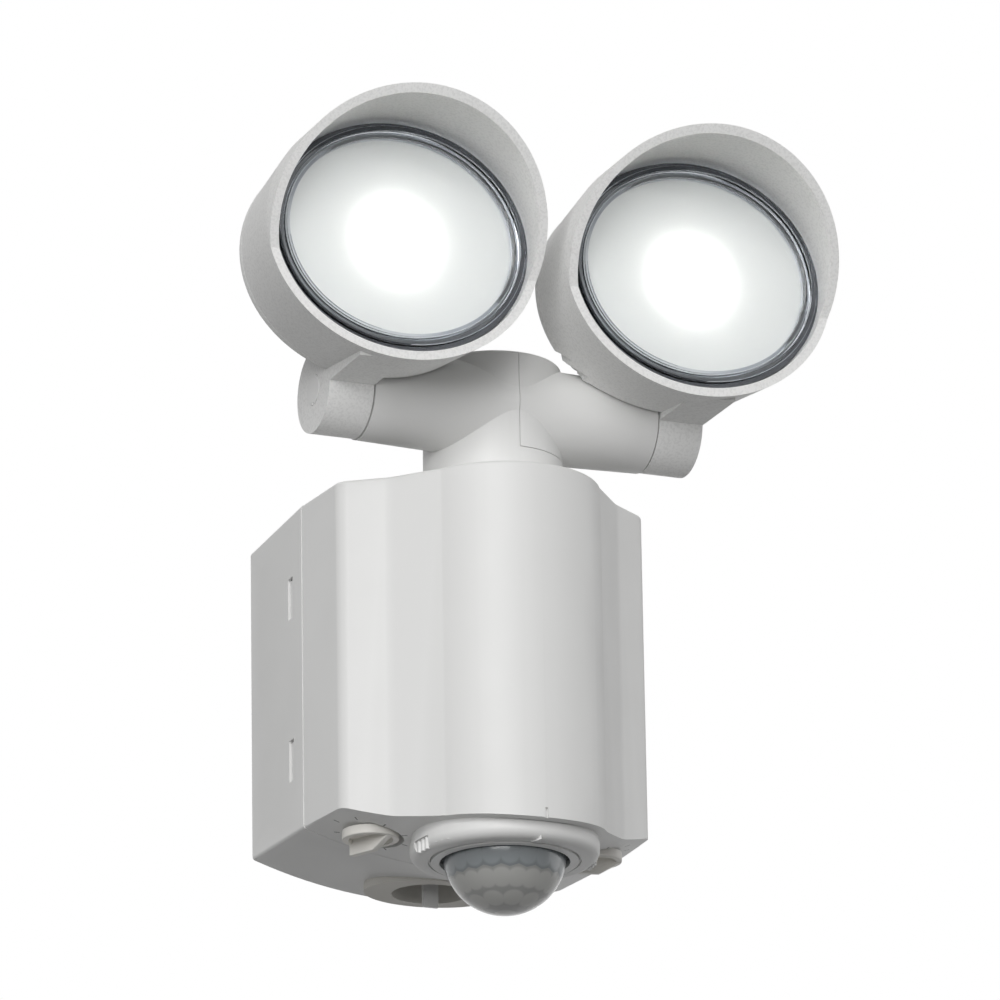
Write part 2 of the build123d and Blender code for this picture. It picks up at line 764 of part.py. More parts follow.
def web_form(extra=0.0):
    """Flat-sided web that joins the barrel to the underside of the hood."""
    dy = web_top_depth - arm_depth
    dz = web_top_z - arm_z
    reach = math.hypot(dy, dz)
    angle = math.atan2(dz, -dy) - math.acos(barrel_r / reach)
    touch_y = barrel_r * math.cos(angle)
    touch_z = barrel_r * math.sin(angle)
    tip_y = -rim_depth + 4
    outline = Polyline(
        (0, 0), (touch_y, touch_z), (-dy, dz), (tip_y + arm_depth, head_z - arm_z - 34),
        (tip_y + arm_depth, web_bottom_z - arm_z), (0, web_bottom_z - arm_z), (0, 0))
    face = make_face(outline)
    if extra:
        face = offset(face, extra)
    length = barrel_end_x - barrel_x + 2 * extra
    return extrude(across(barrel_x - extra, -arm_depth, arm_z) * face, length)


def make_hood():
    """Moulded hood: tapered oval body, slanted visor, web and pivot barrel in one piece."""
    outer = hood_tube(rim_half_w, rim_half_h, back_half_w, back_half_h)
    room = extrude(head_oval(-back_depth, cavity_half_w, cavity_half_h), ledge_depth - back_depth)
    step = extrude(head_oval(-back_depth, ledge_half_w, ledge_half_h), ledge_depth + ledge_t - back_depth)
    seat_y = -lens_depth + lens_t + lens_seal_t
    dish = loft([head_oval(-ledge_depth - ledge_t, cavity_half_w + 1.2, cavity_half_h + 1.2),
                 head_oval(seat_y, cavity_half_w + 1.6, cavity_half_h + 1.6)], ruled=True)
    bore = extrude(head_oval(seat_y, bore_half_w, bore_half_h), rim_depth + seat_y)
    room = room + step + dish + bore - relief_form(wall) - barrel_form()
    body = outer + web_form() - relief_form() - room
    body += barrel_form()
    body += visor()
    pivot = across(barrel_x, -arm_depth, arm_z)
    body -= bar(pivot, bolt_r + running, barrel_end_x)
    body -= bar(across(bolt_seat_x(), -arm_depth, arm_z), plug_r + touch, barrel_end_x)
    return body


def lug_places():
    return [(head_x + sx * lug_x, head_z + sz * lug_z) for sx in (-1, 1) for sz in (-1, 1)]


def make_head_back():
    """Back cover with its inner lip, four screw lugs and their pillars to the lamp plate."""
    joint = -back_depth + seam / 2
    body = extrude(head_oval(joint, back_half_w, back_half_h), -(back_cap - seam / 2))
    body = fillet(body.edges().sort_by(Axis.Y)[-1], back_round_r)
    room = extrude(head_oval(joint, cavity_half_w, cavity_half_h), -(back_cap - back_wall - seam / 2))
    lip_outer = head_oval(joint, cavity_half_w - snug, cavity_half_h - snug)
    lip_inner = head_oval(joint, cavity_half_w - snug - lip_t, cavity_half_h - snug - lip_t)
    body -= room - relief_form(wall) - barrel_form(snug + back_wall)
    body += extrude(lip_outer - lip_inner, lip_depth)
    joint_end = -ledge_depth + plate_t + touch
    for x, z in lug_places():
        length = -lug_end - joint_end
        body += bar(facing(-lug_end, x, z), lug_r, length)
    body -= relief_form(wall + snug) & extrude(head_oval(joint, back_half_w, back_half_h), 20)
    body -= relief_form()
    body -= barrel_form(snug) + web_form(snug)
    for x, z in lug_places():
        body -= bar(facing(-lug_end, x, z), screw_r + touch, 40)
        body -= bar(facing(-lug_end, x, z), screw_head_r, screw_head_h + 0.6)
    return body.solids().sort_by(SortBy.VOLUME)[-1]


def make_back_screws():
    seat = -lug_end - screw_head_h - 0.6
    length = ledge_depth + seat
    spots = lug_places()
    return [screw(Plane(origin=(x, seat, z), z_dir=(0, 1, 0)), length) for x, z in spots]


def make_lamp_plate():
    """Aluminium plate that spreads the lamp's heat, seated on the hood's ledge."""
    face = head_oval(-ledge_depth + plate_t, cavity_half_w - snug, cavity_half_h - snug)
    body = extrude(face, plate_t)
    for x, z in lug_places():
        body -= bar(facing(-ledge_depth + plate_t, x, z), screw_r, plate_t)
    return body


def make_led_board():
    return bar(facing(-ledge_depth, head_x, head_z), led_board_r, board_t)


def make_emitter():
    body = bar(facing(-ledge_depth - board_t, head_x, head_z), emitter_r, emitter_t)
    return fillet(body.edges().sort_by(Axis.Y)[0], 0.4)


def make_reflector():
    """Shallow white dish between the ledge and the clear lens."""
    back_y = -ledge_depth - ledge_t
    front_y = -lens_depth + lens_t
    inner_r = emitter_r + 3
    outer = loft([head_oval(back_y, inner_r + reflector_t, inner_r + reflector_t),
                  head_oval(front_y, disc_half_w + reflector_t, disc_half_h + reflector_t)], ruled=True)
    inner = loft([head_oval(back_y, inner_r, inner_r), head_oval(front_y, disc_half_w, disc_half_h)],
                 ruled=True)
    return outer - inner


def make_lens():
    """Clear disc with a stepped rim that fits the hood's bore."""
    body = extrude(head_oval(-lens_depth + lens_t, lens_half_w, lens_half_h), lens_t)
    steps = ((disc_half_w, disc_half_h, disc_half_w + 1.2, disc_half_h + 1.2, lens_rim_h * 0.8),
             (disc_half_w + 2.1, disc_half_h + 2.1, disc_half_w + 3.6, disc_half_h + 3.6, lens_rim_h))
    for inner_w, inner_h, outer_w, outer_h, height in steps:
        ring = head_oval(-lens_depth, outer_w, outer_h) - head_oval(-lens_depth, inner_w, inner_h)
        body += extrude(ring, height)
    return body


def make_lens_seal():
    """Soft ring between the lens and the hood's bore."""
    back_y = -lens_depth + lens_t
    outer = head_oval(back_y, lens_half_w, lens_half_h)
    inner = head_oval(back_y, lens_half_w - lens_seal_w, lens_half_h - lens_seal_w)
    return extrude(outer - inner, -lens_seal_t)


def make_plug():
    """Round plug that closes the barrel over the pivot bolt."""
    start = across(barrel_end_x - plug_t, -arm_depth, arm_z)
    body = bar(start, plug_r, plug_t + 0.2)
    notch = Pos(barrel_end_x + 0.2, -arm_depth, arm_z - plug_r) * Box(1.2, 1.0, 1.6)
    return body - notch


HEAD = {
    "hood": make_hood,
    "back_cover": make_head_back,
    "back_screws": make_back_screws,
    "lamp_plate": make_lamp_plate,
    "led_board": make_led_board,
    "led_emitter": make_emitter,
    "reflector": make_reflector,
    "clear_lens": make_lens,
    "lens_seal": make_lens_seal,
    "pivot_plug": make_plug,
}


def build():
    """Every piece of the light, by its node's name."""
    parts = {"rear_box": make_rear_box()}
    parts["cover_gasket"] = make_gasket()
    parts["front_cover"] = make_front_cover()
    parts["cable_bush"] = make_bush(parts["rear_box"])
    parts["cable_clamp"] = make_cable_clamp()
    parts["clamp_screws"] = make_clamp_screws()
    parts["terminal_block"] = make_terminal_block()
    parts["terminal_screws"] = make_terminal_screws()
    parts["driver_board"] = make_driver_board()
    parts["driver_screws"] = make_driver_screws()
    parts["transformer"] = make_transformer()
    parts["capacitor"] = make_capacitor()
    parts["relay"] = make_relay()
    parts["control_board"] = make_control_board()
    for name, (x, y) in zip(("time", "light"), knob_places()):
        parts[f"{name}_knob"] = make_knob(x, y)
        parts[f"{name}_potentiometer"] = make_pot(x, y)
    parts["sensor_bezel"] = make_bezel()
    parts["sensor_lens_ring"] = make_lens_ring()
    parts["sensor_dome"] = make_dome()
    parts["sensor_retainer"] = make_retainer()
    parts["sensor_board"] = make_sensor_board()
    parts["infrared_detector"] = make_detector()
    parts["neck_left"] = make_neck_left()
    parts["neck_right"] = make_neck_right()
    parts["neck_screws"] = make_neck_screws()
    parts["neck_seal"] = make_neck_seal()
    parts["neck_clamp_ring"] = make_neck_clamp()
    for name, side in (("left", -1), ("right", 1)):
        parts[f"{name}_pivot_washer"] = make_pivot_washer(side)
        parts[f"{name}_pivot_bolt"] = make_pivot_bolt(side)
        parts[f"{name}_pivot_nut"] = make_pivot_nut(side)
    for name, make in HEAD.items():
        piece = make()
        piece = Compound(children=piece) if isinstance(piece, list) else piece
        parts[f"right_{name}"] = piece
        parts[f"left_{name}"] = mirrored(piece)
    return parts


if __name__ == "__main__":
    os.makedirs("parts", exist_ok=True)
    for name, solid in build().items():
        solid = Compound(children=solid) if isinstance(solid, list) else solid
        export_step(solid, f"parts/{name}.step")
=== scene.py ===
import json
import math

import bpy
from mathutils import Matrix, Vector


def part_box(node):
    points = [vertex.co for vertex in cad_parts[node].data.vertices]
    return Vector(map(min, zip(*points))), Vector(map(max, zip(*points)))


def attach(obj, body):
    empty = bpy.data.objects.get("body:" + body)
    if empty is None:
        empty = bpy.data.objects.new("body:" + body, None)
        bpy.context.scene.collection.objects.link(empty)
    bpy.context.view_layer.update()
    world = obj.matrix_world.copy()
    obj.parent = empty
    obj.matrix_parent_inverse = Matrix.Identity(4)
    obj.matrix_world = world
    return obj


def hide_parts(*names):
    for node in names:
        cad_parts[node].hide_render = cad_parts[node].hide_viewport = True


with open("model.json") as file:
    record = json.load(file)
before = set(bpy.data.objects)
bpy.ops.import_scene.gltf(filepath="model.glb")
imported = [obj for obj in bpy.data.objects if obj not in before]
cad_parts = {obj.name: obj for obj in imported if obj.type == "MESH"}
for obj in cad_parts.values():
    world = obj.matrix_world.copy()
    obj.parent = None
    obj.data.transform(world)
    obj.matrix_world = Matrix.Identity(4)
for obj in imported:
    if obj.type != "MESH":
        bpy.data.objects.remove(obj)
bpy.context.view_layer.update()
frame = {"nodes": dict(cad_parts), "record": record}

bl_info = {
    "name": "Motion sensor security light",
    "version": (1, 1, 0),
    "blender": (4, 5, 0),
    "location": "View3D > Sidebar > Security light",
    "description": "Finishes the packed security light and sets its studio stage",
    "category": "Object",
}

MM = 0.001
HEAD_SIDES = (("left", -1), ("right", 1))

# What is written with MM and the stage's places are in metres, the rest in millimetres.
DOME_CENTRE = (0, -75.5 * MM, -62.6 * MM)
KNOB_X, KNOB_Y = 36.4 * MM, -58.8 * MM
HEAD_X, HEAD_Z = 48.3 * MM, 113.45 * MM

COVER_REACH_BACK = 11.3         # from the cover's rear to the seam, where its draft starts

DOME_R, DOME_FLANGE_R = 18.6, 21.8
DOME_FLANGE_RISE = 0.2          # the flange lies this far above the ball's middle
DOME_WALL = 1.0
DOME_ROWS = ((14.0, 20, 0.0), (37.0, 20, 0.5), (60.0, 10, 0.25))    # angle down, facets, turn

BEZEL_R = 28.5                  # radius on which the two finger grips lie
GRIP_ANGLES = (185.0, 355.0)
GRIP_SIZE = (2.4, 9.0, 4.2)     # into the rim, along it and up
GRIP_Z = -63.2
RIB_PLACES = (-2.4, 0.0, 2.4)   # along a grip
RIB_INSET, RIB_R, RIB_LOW, RIB_HIGH = 1.2, 0.75, -64.9, -61.2
POINTER_AHEAD = 25.2            # from the dome's axis to the middle of the pointer
POINTER_LOW, POINTER_HIGH = -65.35, -63.6
POINTER_STRETCH = (1.75, 2.67, 1)

KNOB_R, KNOB_T, KNOB_TOP = 8.6, 2.8, -54.6
KNOB_TURNS = (-65.0, -13.5)     # where the two blades point in the photograph
KNOB_EDGE = 0.4
HOLLOW_STEPS = ((1.4, 0.02), (0.4, 1.2))    # inset and depth of the hollow face's two steps
BLADE_W, BLADE_HALF_L, BLADE_FLAT, BLADE_DROP = 2.4, 7.8, 1.6, 3.5
BLADE_ROOT, BLADE_EDGE = 0.4, 0.35

TICK_COUNT, TICK_REACH, TICK_HALF_L, TICK_HALF_W = 8, 11.0, 0.9, 0.22
UNDERSIDE_Z = -48.0             # what lies lower takes the dial marks

OVAL_SIDES = 96
DISC_HALF_W, DISC_HALF_H = 36.2, 31.0
# The lens rim's painted highlight runs along this groove.
RIDGE_GAP = 1.65                # middle of the groove between the lens's two ridges
# Radii between which the bowl's painted glow fades.
REFLECTOR_HOLE, REFLECTOR_EDGE = 8.0, 24.0
# The lens's section: distance outside the disc, and distance from the wall.
LENS_LOOPS = ((0.0, 116.6), (0.0, 118.4), (0.3, 118.6), (1.0, 118.6), (1.2, 118.4),
              (1.25, 116.7), (2.0, 116.7), (2.1, 118.5), (2.3, 118.8), (3.4, 118.8),
              (3.6, 118.5), (3.65, 116.8), (5.0, 116.8), (5.05, 114.3), (0.5, 114.3))
# The bowl's section: half width, half height, and distance from the wall.
BOWL_LOOPS = ((37.4, 32.2, 114.1), (36.0, 30.9, 114.1), (22.0, 19.0, 113.3),
              (8.75, 8.75, 112.6), (8.75, 8.75, 112.2), (22.0, 19.0, 112.8),
              (36.0, 30.9, 113.5), (37.4, 32.2, 113.5))
LED_BOARD_FRONT, LED_LIFT = 106.0, 6.3

STRAP_X, STRAP_Y = (-8.6, -3.4), (-17.7, -16.3)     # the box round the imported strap
STRAP_SHIFT = 6.0               # from its packed place to the middle of the cable hole

LIGHT_AIM = (0, -0.07, 0.03)
KEY_PLACE, KEY_SIZE = (-1.08, -1.85, 0.50), (1.3, 1.5)
SIDE_PLACE, SIDE_SIZE = (1.8, -0.10, 0.30), (1.2, 1.6)


# ---------------------------------------------------------------- settings
class FinishSettings(bpy.types.PropertyGroup):
    """Colours of the light's mouldings."""

    shell_colour: bpy.props.FloatVectorProperty(
        name="Shell", description="Colour of the white mouldings", subtype="COLOR", size=3,
        default=(0.80, 0.80, 0.79), min=0, max=1)
    knob_colour: bpy.props.FloatVectorProperty(
        name="Knobs", description="Colour of the setting knobs", subtype="COLOR", size=3,
        default=(0.86, 0.84, 0.79), min=0, max=1)
    bush_colour: bpy.props.FloatVectorProperty(
        name="Bush", description="Colour of the cable bush", subtype="COLOR", size=3,
        default=(0.66, 0.64, 0.59), min=0, max=1)
    dome_colour: bpy.props.FloatVectorProperty(
        name="Dome", description="Tint of the sensor's dome", subtype="COLOR", size=3,
        default=(0.52, 0.52, 0.50), min=0, max=1)
    lens_tint: bpy.props.FloatVectorProperty(
        name="Lens", description="Tint of the clear lens", subtype="COLOR", size=3,
        default=(0.97, 0.98, 0.98), min=0, max=1)
    # Painted shade: the clear lens's thick rim is tinted darker and bluer.
    rim_painted_shade: bpy.props.FloatVectorProperty(
        name="Lens rim", description="Tint of the lens's thick rim", subtype="COLOR", size=3,
        default=(0.60, 0.63, 0.68), min=0, max=1)
    mark_colour: bpy.props.FloatVectorProperty(
        name="Marks", description="Colour of the printed dial marks", subtype="COLOR", size=3,
        default=(0.10, 0.10, 0.10), min=0, max=1)
    glow: bpy.props.FloatProperty(
        name="Glow", description="Strength of the lit emitter", default=26.0, min=0, max=100)
    # Strength of the bowl's painted glow, standing in for the emitter's light on the reflector.
    bowl_painted_glow: bpy.props.FloatProperty(
        name="Bowl glow", description="Light that the reflector throws back beside the emitter",
        default=0.55, min=0, max=5)
    cover_draft: bpy.props.FloatProperty(
        name="Cover draft",
        description="Share by which the cover's sides draw in towards the front",
        default=0.047, min=0, max=0.2)


class StageSettings(bpy.types.PropertyGroup):
    """Camera, lights and floor."""

    camera_place: bpy.props.FloatVectorProperty(
        name="Camera", description="Place of the camera", subtype="TRANSLATION", unit="LENGTH",
        size=3, default=(-0.9013, -2.1812, -0.7071))
    camera_target: bpy.props.FloatVectorProperty(
        name="Target", description="Point in the middle of the picture", subtype="TRANSLATION",
        unit="LENGTH", size=3, default=(0.00697, -0.060, 0.0545))
    camera_roll: bpy.props.FloatProperty(
        name="Roll", description="Roll of the camera about its view", subtype="ANGLE",
        default=math.radians(-0.93))
    camera_lens: bpy.props.FloatProperty(
        name="Lens", description="Focal length on a 36 mm sensor, in mm", default=286.2, min=10)
    key_power: bpy.props.FloatProperty(
        name="Key light", description="Power of the key light in watts", default=35.0, min=0)
    side_power: bpy.props.FloatProperty(
        name="Side light", description="Power of the side light in watts", default=5.5, min=0)
    world_level: bpy.props.FloatProperty(
        name="World", description="Strength of the world's light", default=0.22, min=0)
    floor_drop: bpy.props.FloatProperty(
        name="Floor drop", description="Floor's distance below the light", subtype="DISTANCE",
        unit="LENGTH", default=1.7, min=1)
    floor_size: bpy.props.FloatProperty(
        name="Floor size", description="Side of the floor", subtype="DISTANCE", unit="LENGTH",
        default=14.0, min=2)


# ---------------------------------------------------------------- shared effects
def new_group(name, inputs, outputs):
    """A shader node group with its sockets, ready for its nodes."""
    group = bpy.data.node_groups.new(name, "ShaderNodeTree")
    for socket, kind, default in inputs:
        item = group.interface.new_socket(name=socket, in_out="INPUT", socket_type=kind)
        if default is not None:
            item.default_value = default
    for socket, kind in outputs:
        group.interface.new_socket(name=socket, in_out="OUTPUT", socket_type=kind)
    nodes = group.nodes
    return group, nodes, group.links, nodes.new("NodeGroupInput"), nodes.new("NodeGroupOutput")


def maths(nodes, links, operation, *values, clamp=False):
    """One Math node, fed by sockets or plain numbers."""
    node = nodes.new("ShaderNodeMath")
    node.operation = operation
    node.use_clamp = clamp
    for socket, value in zip(node.inputs, values):
        if isinstance(value, (int, float)):
            socket.default_value = value
        else:
            links.new(value, socket)
    return node.outputs[0]


def ramp(nodes, links, value, low, high, to_low=0.0, to_high=1.0):
    """A smooth step of a value between two limits."""
    node = nodes.new("ShaderNodeMapRange")
    node.interpolation_type = "SMOOTHSTEP"
    links.new(value, node.inputs["Value"])
    limits = {"From Min": low, "From Max": high, "To Min": to_low, "To Max": to_high}
    for name, number in limits.items():
        node.inputs[name].default_value = number
    return node.outputs["Result"]


def mix_colours(nodes, links, factor, first, second):
    """Two colours mixed by a mask; each is a socket or three numbers."""
    node = nodes.new("ShaderNodeMix")
    node.data_type = "RGBA"
    links.new(factor, node.inputs["Factor"])
    for name, colour in (("A", first), ("B", second)):
        if isinstance(colour, (tuple, list)):
            node.inputs[name].default_value = (*colour[:3], 1)
        else:
            links.new(colour, node.inputs[name])
    return node.outputs["Result"]


def far_from(nodes, links, first, second):
    """Distance from a centre, from its two parts at right angles."""
    squares = [maths(nodes, links, "MULTIPLY", side, side) for side in (first, second)]
    return maths(nodes, links, "SQRT", maths(nodes, links, "ADD", *squares))


def raise_surface(nodes, links, shader, relief, strength, distance):
    """A relief as a bump of the shader's surface, with its distance in millimetres."""
    height = nodes.new("ShaderNodeBump")
    height.inputs["Strength"].default_value = strength
    height.inputs["Distance"].default_value = distance * MM
    links.new(relief, height.inputs["Height"])
    links.new(height.outputs["Normal"], shader.inputs["Normal"])


def placed(nodes, links, centre):
    """Object coordinates in millimetres, counted from a centre."""
    place = nodes.new("ShaderNodeTexCoord")
    mapping = nodes.new("ShaderNodeMapping")
    mapping.vector_type = "POINT"
    mapping.inputs["Location"].default_value = [-value / MM for value in centre]
    mapping.inputs["Scale"].default_value = (1 / MM,) * 3
    links.new(place.outputs["Object"], mapping.inputs["Vector"])
    parts = nodes.new("ShaderNodeSeparateXYZ")
    links.new(mapping.outputs["Vector"], parts.inputs["Vector"])
    return mapping.outputs["Vector"], parts.outputs


def moulded_grain_group():
    """Fine spark-eroded grain with a slow waviness, as an injection mould leaves it."""
    group, nodes, links, given, made = new_group(
        "moulded_grain",
        [("Scale", "NodeSocketFloat", 2600.0), ("Wave", "NodeSocketFloat", 45.0),
         ("Rough low", "NodeSocketFloat", 0.28), ("Rough high", "NodeSocketFloat", 0.36)],
        [("Height", "NodeSocketFloat"), ("Roughness", "NodeSocketFloat"),
         ("Mask", "NodeSocketFloat"), ("Grain", "NodeSocketFloat")])
    place = nodes.new("ShaderNodeTexCoord")
    fine = nodes.new("ShaderNodeTexNoise")
    fine.inputs["Detail"].default_value = 2.0
    slow = nodes.new("ShaderNodeTexNoise")
    slow.inputs["Detail"].default_value = 3.0
    links.new(place.outputs["Object"], fine.inputs["Vector"])
    links.new(place.outputs["Object"], slow.inputs["Vector"])
    links.new(given.outputs["Scale"], fine.inputs["Scale"])
    links.new(given.outputs["Wave"], slow.inputs["Scale"])
    height = maths(nodes, links, "MULTIPLY_ADD", fine.outputs["Fac"], 0.35, slow.outputs["Fac"])
    spread = nodes.new("ShaderNodeMapRange")
    spread.inputs["From Min"].default_value = 0.3
    spread.inputs["From Max"].default_value = 0.7
    links.new(slow.outputs["Fac"], spread.inputs["Value"])
    links.new(given.outputs["Rough low"], spread.inputs["To Min"])
    links.new(given.outputs["Rough high"], spread.inputs["To Max"])
    links.new(height, made.inputs["Height"])
    links.new(spread.outputs["Result"], made.inputs["Roughness"])
    links.new(slow.outputs["Fac"], made.inputs["Mask"])
    links.new(fine.outputs["Fac"], made.inputs["Grain"])
    return group


def edge_sheen_group():
    """Mask of the outer edges, from the surface's pointiness, where a sheen is painted."""
    group, nodes, links, given, made = new_group(
        "painted_edge_sheen", [("Low", "NodeSocketFloat", 0.52), ("High", "NodeSocketFloat", 0.60)],
        [("Edge", "NodeSocketFloat")])
    shape = nodes.new("ShaderNodeNewGeometry")
    spread = nodes.new("ShaderNodeMapRange")
    links.new(shape.outputs["Pointiness"], spread.inputs["Value"])
    links.new(given.outputs["Low"], spread.inputs["From Min"])
    links.new(given.outputs["High"], spread.inputs["From Max"])
    links.new(spread.outputs["Result"], made.inputs["Edge"])
    return group


def facet_row_group():
    """Nearness of a direction to the closest facet of one row of the sensor's dome."""
    group, nodes, links, given, made = new_group(
        "facet_row",
        [("Direction", "NodeSocketVector", None), ("Down", "NodeSocketFloat", 0.24),
         ("Count", "NodeSocketFloat", 20.0), ("Turn", "NodeSocketFloat", 0.0)],
        [("Nearness", "NodeSocketFloat")])
    parts = nodes.new("ShaderNodeSeparateXYZ")
    links.new(given.outputs["Direction"], parts.inputs["Vector"])
    x, y, z = parts.outputs
    count, turn, down = (given.outputs[name] for name in ("Count", "Turn", "Down"))
    angle = maths(nodes, links, "ARCTAN2", y, x)
    share = maths(nodes, links, "MULTIPLY", maths(nodes, links, "DIVIDE", angle, math.tau), count)
    offset = maths(nodes, links, "SUBTRACT", share, turn)
    nearest = maths(nodes, links, "ROUND", offset)
    apart = maths(nodes, links, "SUBTRACT", offset, nearest)
    swing = maths(nodes, links, "DIVIDE", maths(nodes, links, "MULTIPLY", apart, math.tau), count)
    level = far_from(nodes, links, x, y)
    flat = maths(nodes, links, "MULTIPLY", level, maths(nodes, links, "COSINE", down))
    sideways = maths(nodes, links, "MULTIPLY", flat, maths(nodes, links, "COSINE", swing))
    upright = maths(nodes, links, "MULTIPLY", z, maths(nodes, links, "SINE", down))
    links.new(maths(nodes, links, "SUBTRACT", sideways, upright), made.inputs["Nearness"])
    return group


def group_node(nodes, group, **values):
    """A shared effect placed in a material with its own values."""
    node = nodes.new("ShaderNodeGroup")
    node.node_tree = group
    for name, value in values.items():
        node.inputs[name.replace("_", " ")].default_value = value
    return node


# ---------------------------------------------------------------- materials
def start_material(name):
    """A new material with its nodes, links and plain shader."""
    material = bpy.data.materials.new(name)
    material.use_nodes = True
    nodes = material.node_tree.nodes
    shader = nodes["Principled BSDF"]
    return material, nodes, material.node_tree.links, shader


def moulded_material(name, colour, shared, rough=(0.46, 0.54), scale=2600.0, bump=0.06,
                     tint=0.04, edge=0.06, pit_shade=0.0, distance=0.2):
    """Moulded plastic: a base colour with a slow drift, edges made paler as painted sheen, grain in
    its height and roughness, and, where asked, painted shade in the low spots of a sand texture."""
    material, nodes, links, shader = start_material(name)
    effect = group_node(nodes, shared["grain"], Scale=scale, Rough_low=rough[0],
                        Rough_high=rough[1])
    # Painted sheen: the colour is made paler along the edges.
    painted_sheen = group_node(nodes, shared["edge"])
    dark = [c * (1 - tint) for c in colour]
    pale = [c + (1 - c) * edge * 2 for c in colour]
    base = mix_colours(nodes, links, effect.outputs["Mask"], colour, dark)
    base = mix_colours(nodes, links, painted_sheen.outputs["Edge"], base, pale)
    # Painted shade: darker colour where the sand texture's grain lies low.
    if pit_shade:
        painted_pit_shade = ramp(nodes, links, effect.outputs["Grain"], 0.36, 0.56, pit_shade, 0.0)
        base = mix_colours(nodes, links, painted_pit_shade, base, [c * 0.45 for c in colour])
    links.new(base, shader.inputs["Base Color"])
    links.new(effect.outputs["Roughness"], shader.inputs["Roughness"])
    raise_surface(nodes, links, shader, effect.outputs["Height"], bump, distance)
    shader.inputs["IOR"].default_value = 1.49
    return material


def metal_material(name, colour, shared, rough=(0.25, 0.4), scale=900.0):
    """Plain metal with fine grain."""
    material = moulded_material(name, colour, shared, rough, scale, 0.1, 0.12)
    material.node_tree.nodes["Principled BSDF"].inputs["Metallic"].default_value = 1.0
    return material


def oval_offset(nodes, links, parts, half_w, half_h):
    """Distance outside an oval in the x-z plane, in millimetres, along the ray from its
    centre."""
    x, _, z = parts
    across = maths(nodes, links, "DIVIDE", x, half_w)
    up = maths(nodes, links, "DIVIDE", z, half_h)
    share = maths(nodes, links, "MAXIMUM", far_from(nodes, links, across, up), 0.02)
    short = maths(nodes, links, "SUBTRACT", 1.0, maths(nodes, links, "DIVIDE", 1.0, share))
    return maths(nodes, links, "MULTIPLY", far_from(nodes, links, x, z), short)


def lens_material(name, centre, half_w, half_h, tint, rim):
    """Clear moulded lens: its disc is colourless, and its thick rim has painted shade, a smoke-blue
    tint, with a painted highlight along the groove where the two ridges part."""
    material, nodes, links, shader = start_material(name)
    vector, parts = placed(nodes, links, centre)
    out = oval_offset(nodes, links, parts, half_w, half_h)
    # Painted shade over the rim, and a painted highlight along its groove.
    rim_shade_mask = ramp(nodes, links, out, -0.2, 0.3)
    colour = mix_colours(nodes, links, rim_shade_mask, tint, rim)
    gap = maths(nodes, links, "ABSOLUTE", maths(nodes, links, "SUBTRACT", out, RIDGE_GAP))
    painted_highlight = ramp(nodes, links, gap, 0.25, 0.7, 1.0, 0.0)
    colour = mix_colours(nodes, links, painted_highlight, colour, [min(1.0, value * 1.5) for value in rim])
    links.new(colour, shader.inputs["Base Color"])
    soft = nodes.new("ShaderNodeTexNoise")
    soft.inputs["Scale"].default_value = 0.5
    soft.inputs["Detail"].default_value = 2.0
    links.new(vector, soft.inputs["Vector"])
    links.new(ramp(nodes, links, soft.outputs["Fac"], 0.3, 0.7, 0.02, 0.06),
              shader.inputs["Roughness"])
    shader.inputs["IOR"].default_value = 1.49
    shader.inputs["Transmission Weight"].default_value = 1.0
    return material


def reflector_material(name, centre, hole, edge, colour, glow, shared):
    """White moulded bowl with painted light: a glow brightest at the hole, greyer towards its rim.
    """
    material, nodes, links, shader = start_material(name)
    effect = group_node(nodes, shared["grain"], Scale=1800.0, Rough_low=0.3, Rough_high=0.38)
    links.new(effect.outputs["Roughness"], shader.inputs["Roughness"])
    _, (x, _, z) = placed(nodes, links, centre)
    # Painted glow: emission strongest at the hole, fading towards the rim.
    painted_glow_fall = ramp(nodes, links, far_from(nodes, links, x, z), hole, edge, 1.0, 0.0)
    painted_glow_share = maths(nodes, links, "POWER", painted_glow_fall, 2.6)
    dark = [c * 0.96 for c in colour]
    links.new(mix_colours(nodes, links, effect.outputs["Mask"], colour, dark),
              shader.inputs["Base Color"])
    light = maths(nodes, links, "MULTIPLY_ADD", painted_glow_share, 0.92, 0.08)
    links.new(mix_colours(nodes, links, light, (0, 0, 0), (0.97, 1.0, 0.97)),
              shader.inputs["Emission Color"])
    shader.inputs["Emission Strength"].default_value = glow
    raise_surface(nodes, links, shader, effect.outputs["Height"], 0.03, 0.2)
    return material


def glow_material(name, colour, strength):
    """Lit phosphor of the emitter."""
    material, nodes, links, shader = start_material(name)
    dots = nodes.new("ShaderNodeTexVoronoi")
    dots.inputs["Scale"].default_value = 600.0
    place = nodes.new("ShaderNodeTexCoord")
    links.new(place.outputs["Object"], dots.inputs["Vector"])
    links.new(ramp(nodes, links, dots.outputs["Distance"], 0, 1, 0.4, 0.6),
              shader.inputs["Roughness"])
    shader.inputs["Base Color"].default_value = (*colour, 1)
    shader.inputs["Emission Color"].default_value = (*colour, 1)
    shader.inputs["Emission Strength"].default_value = strength
    return material


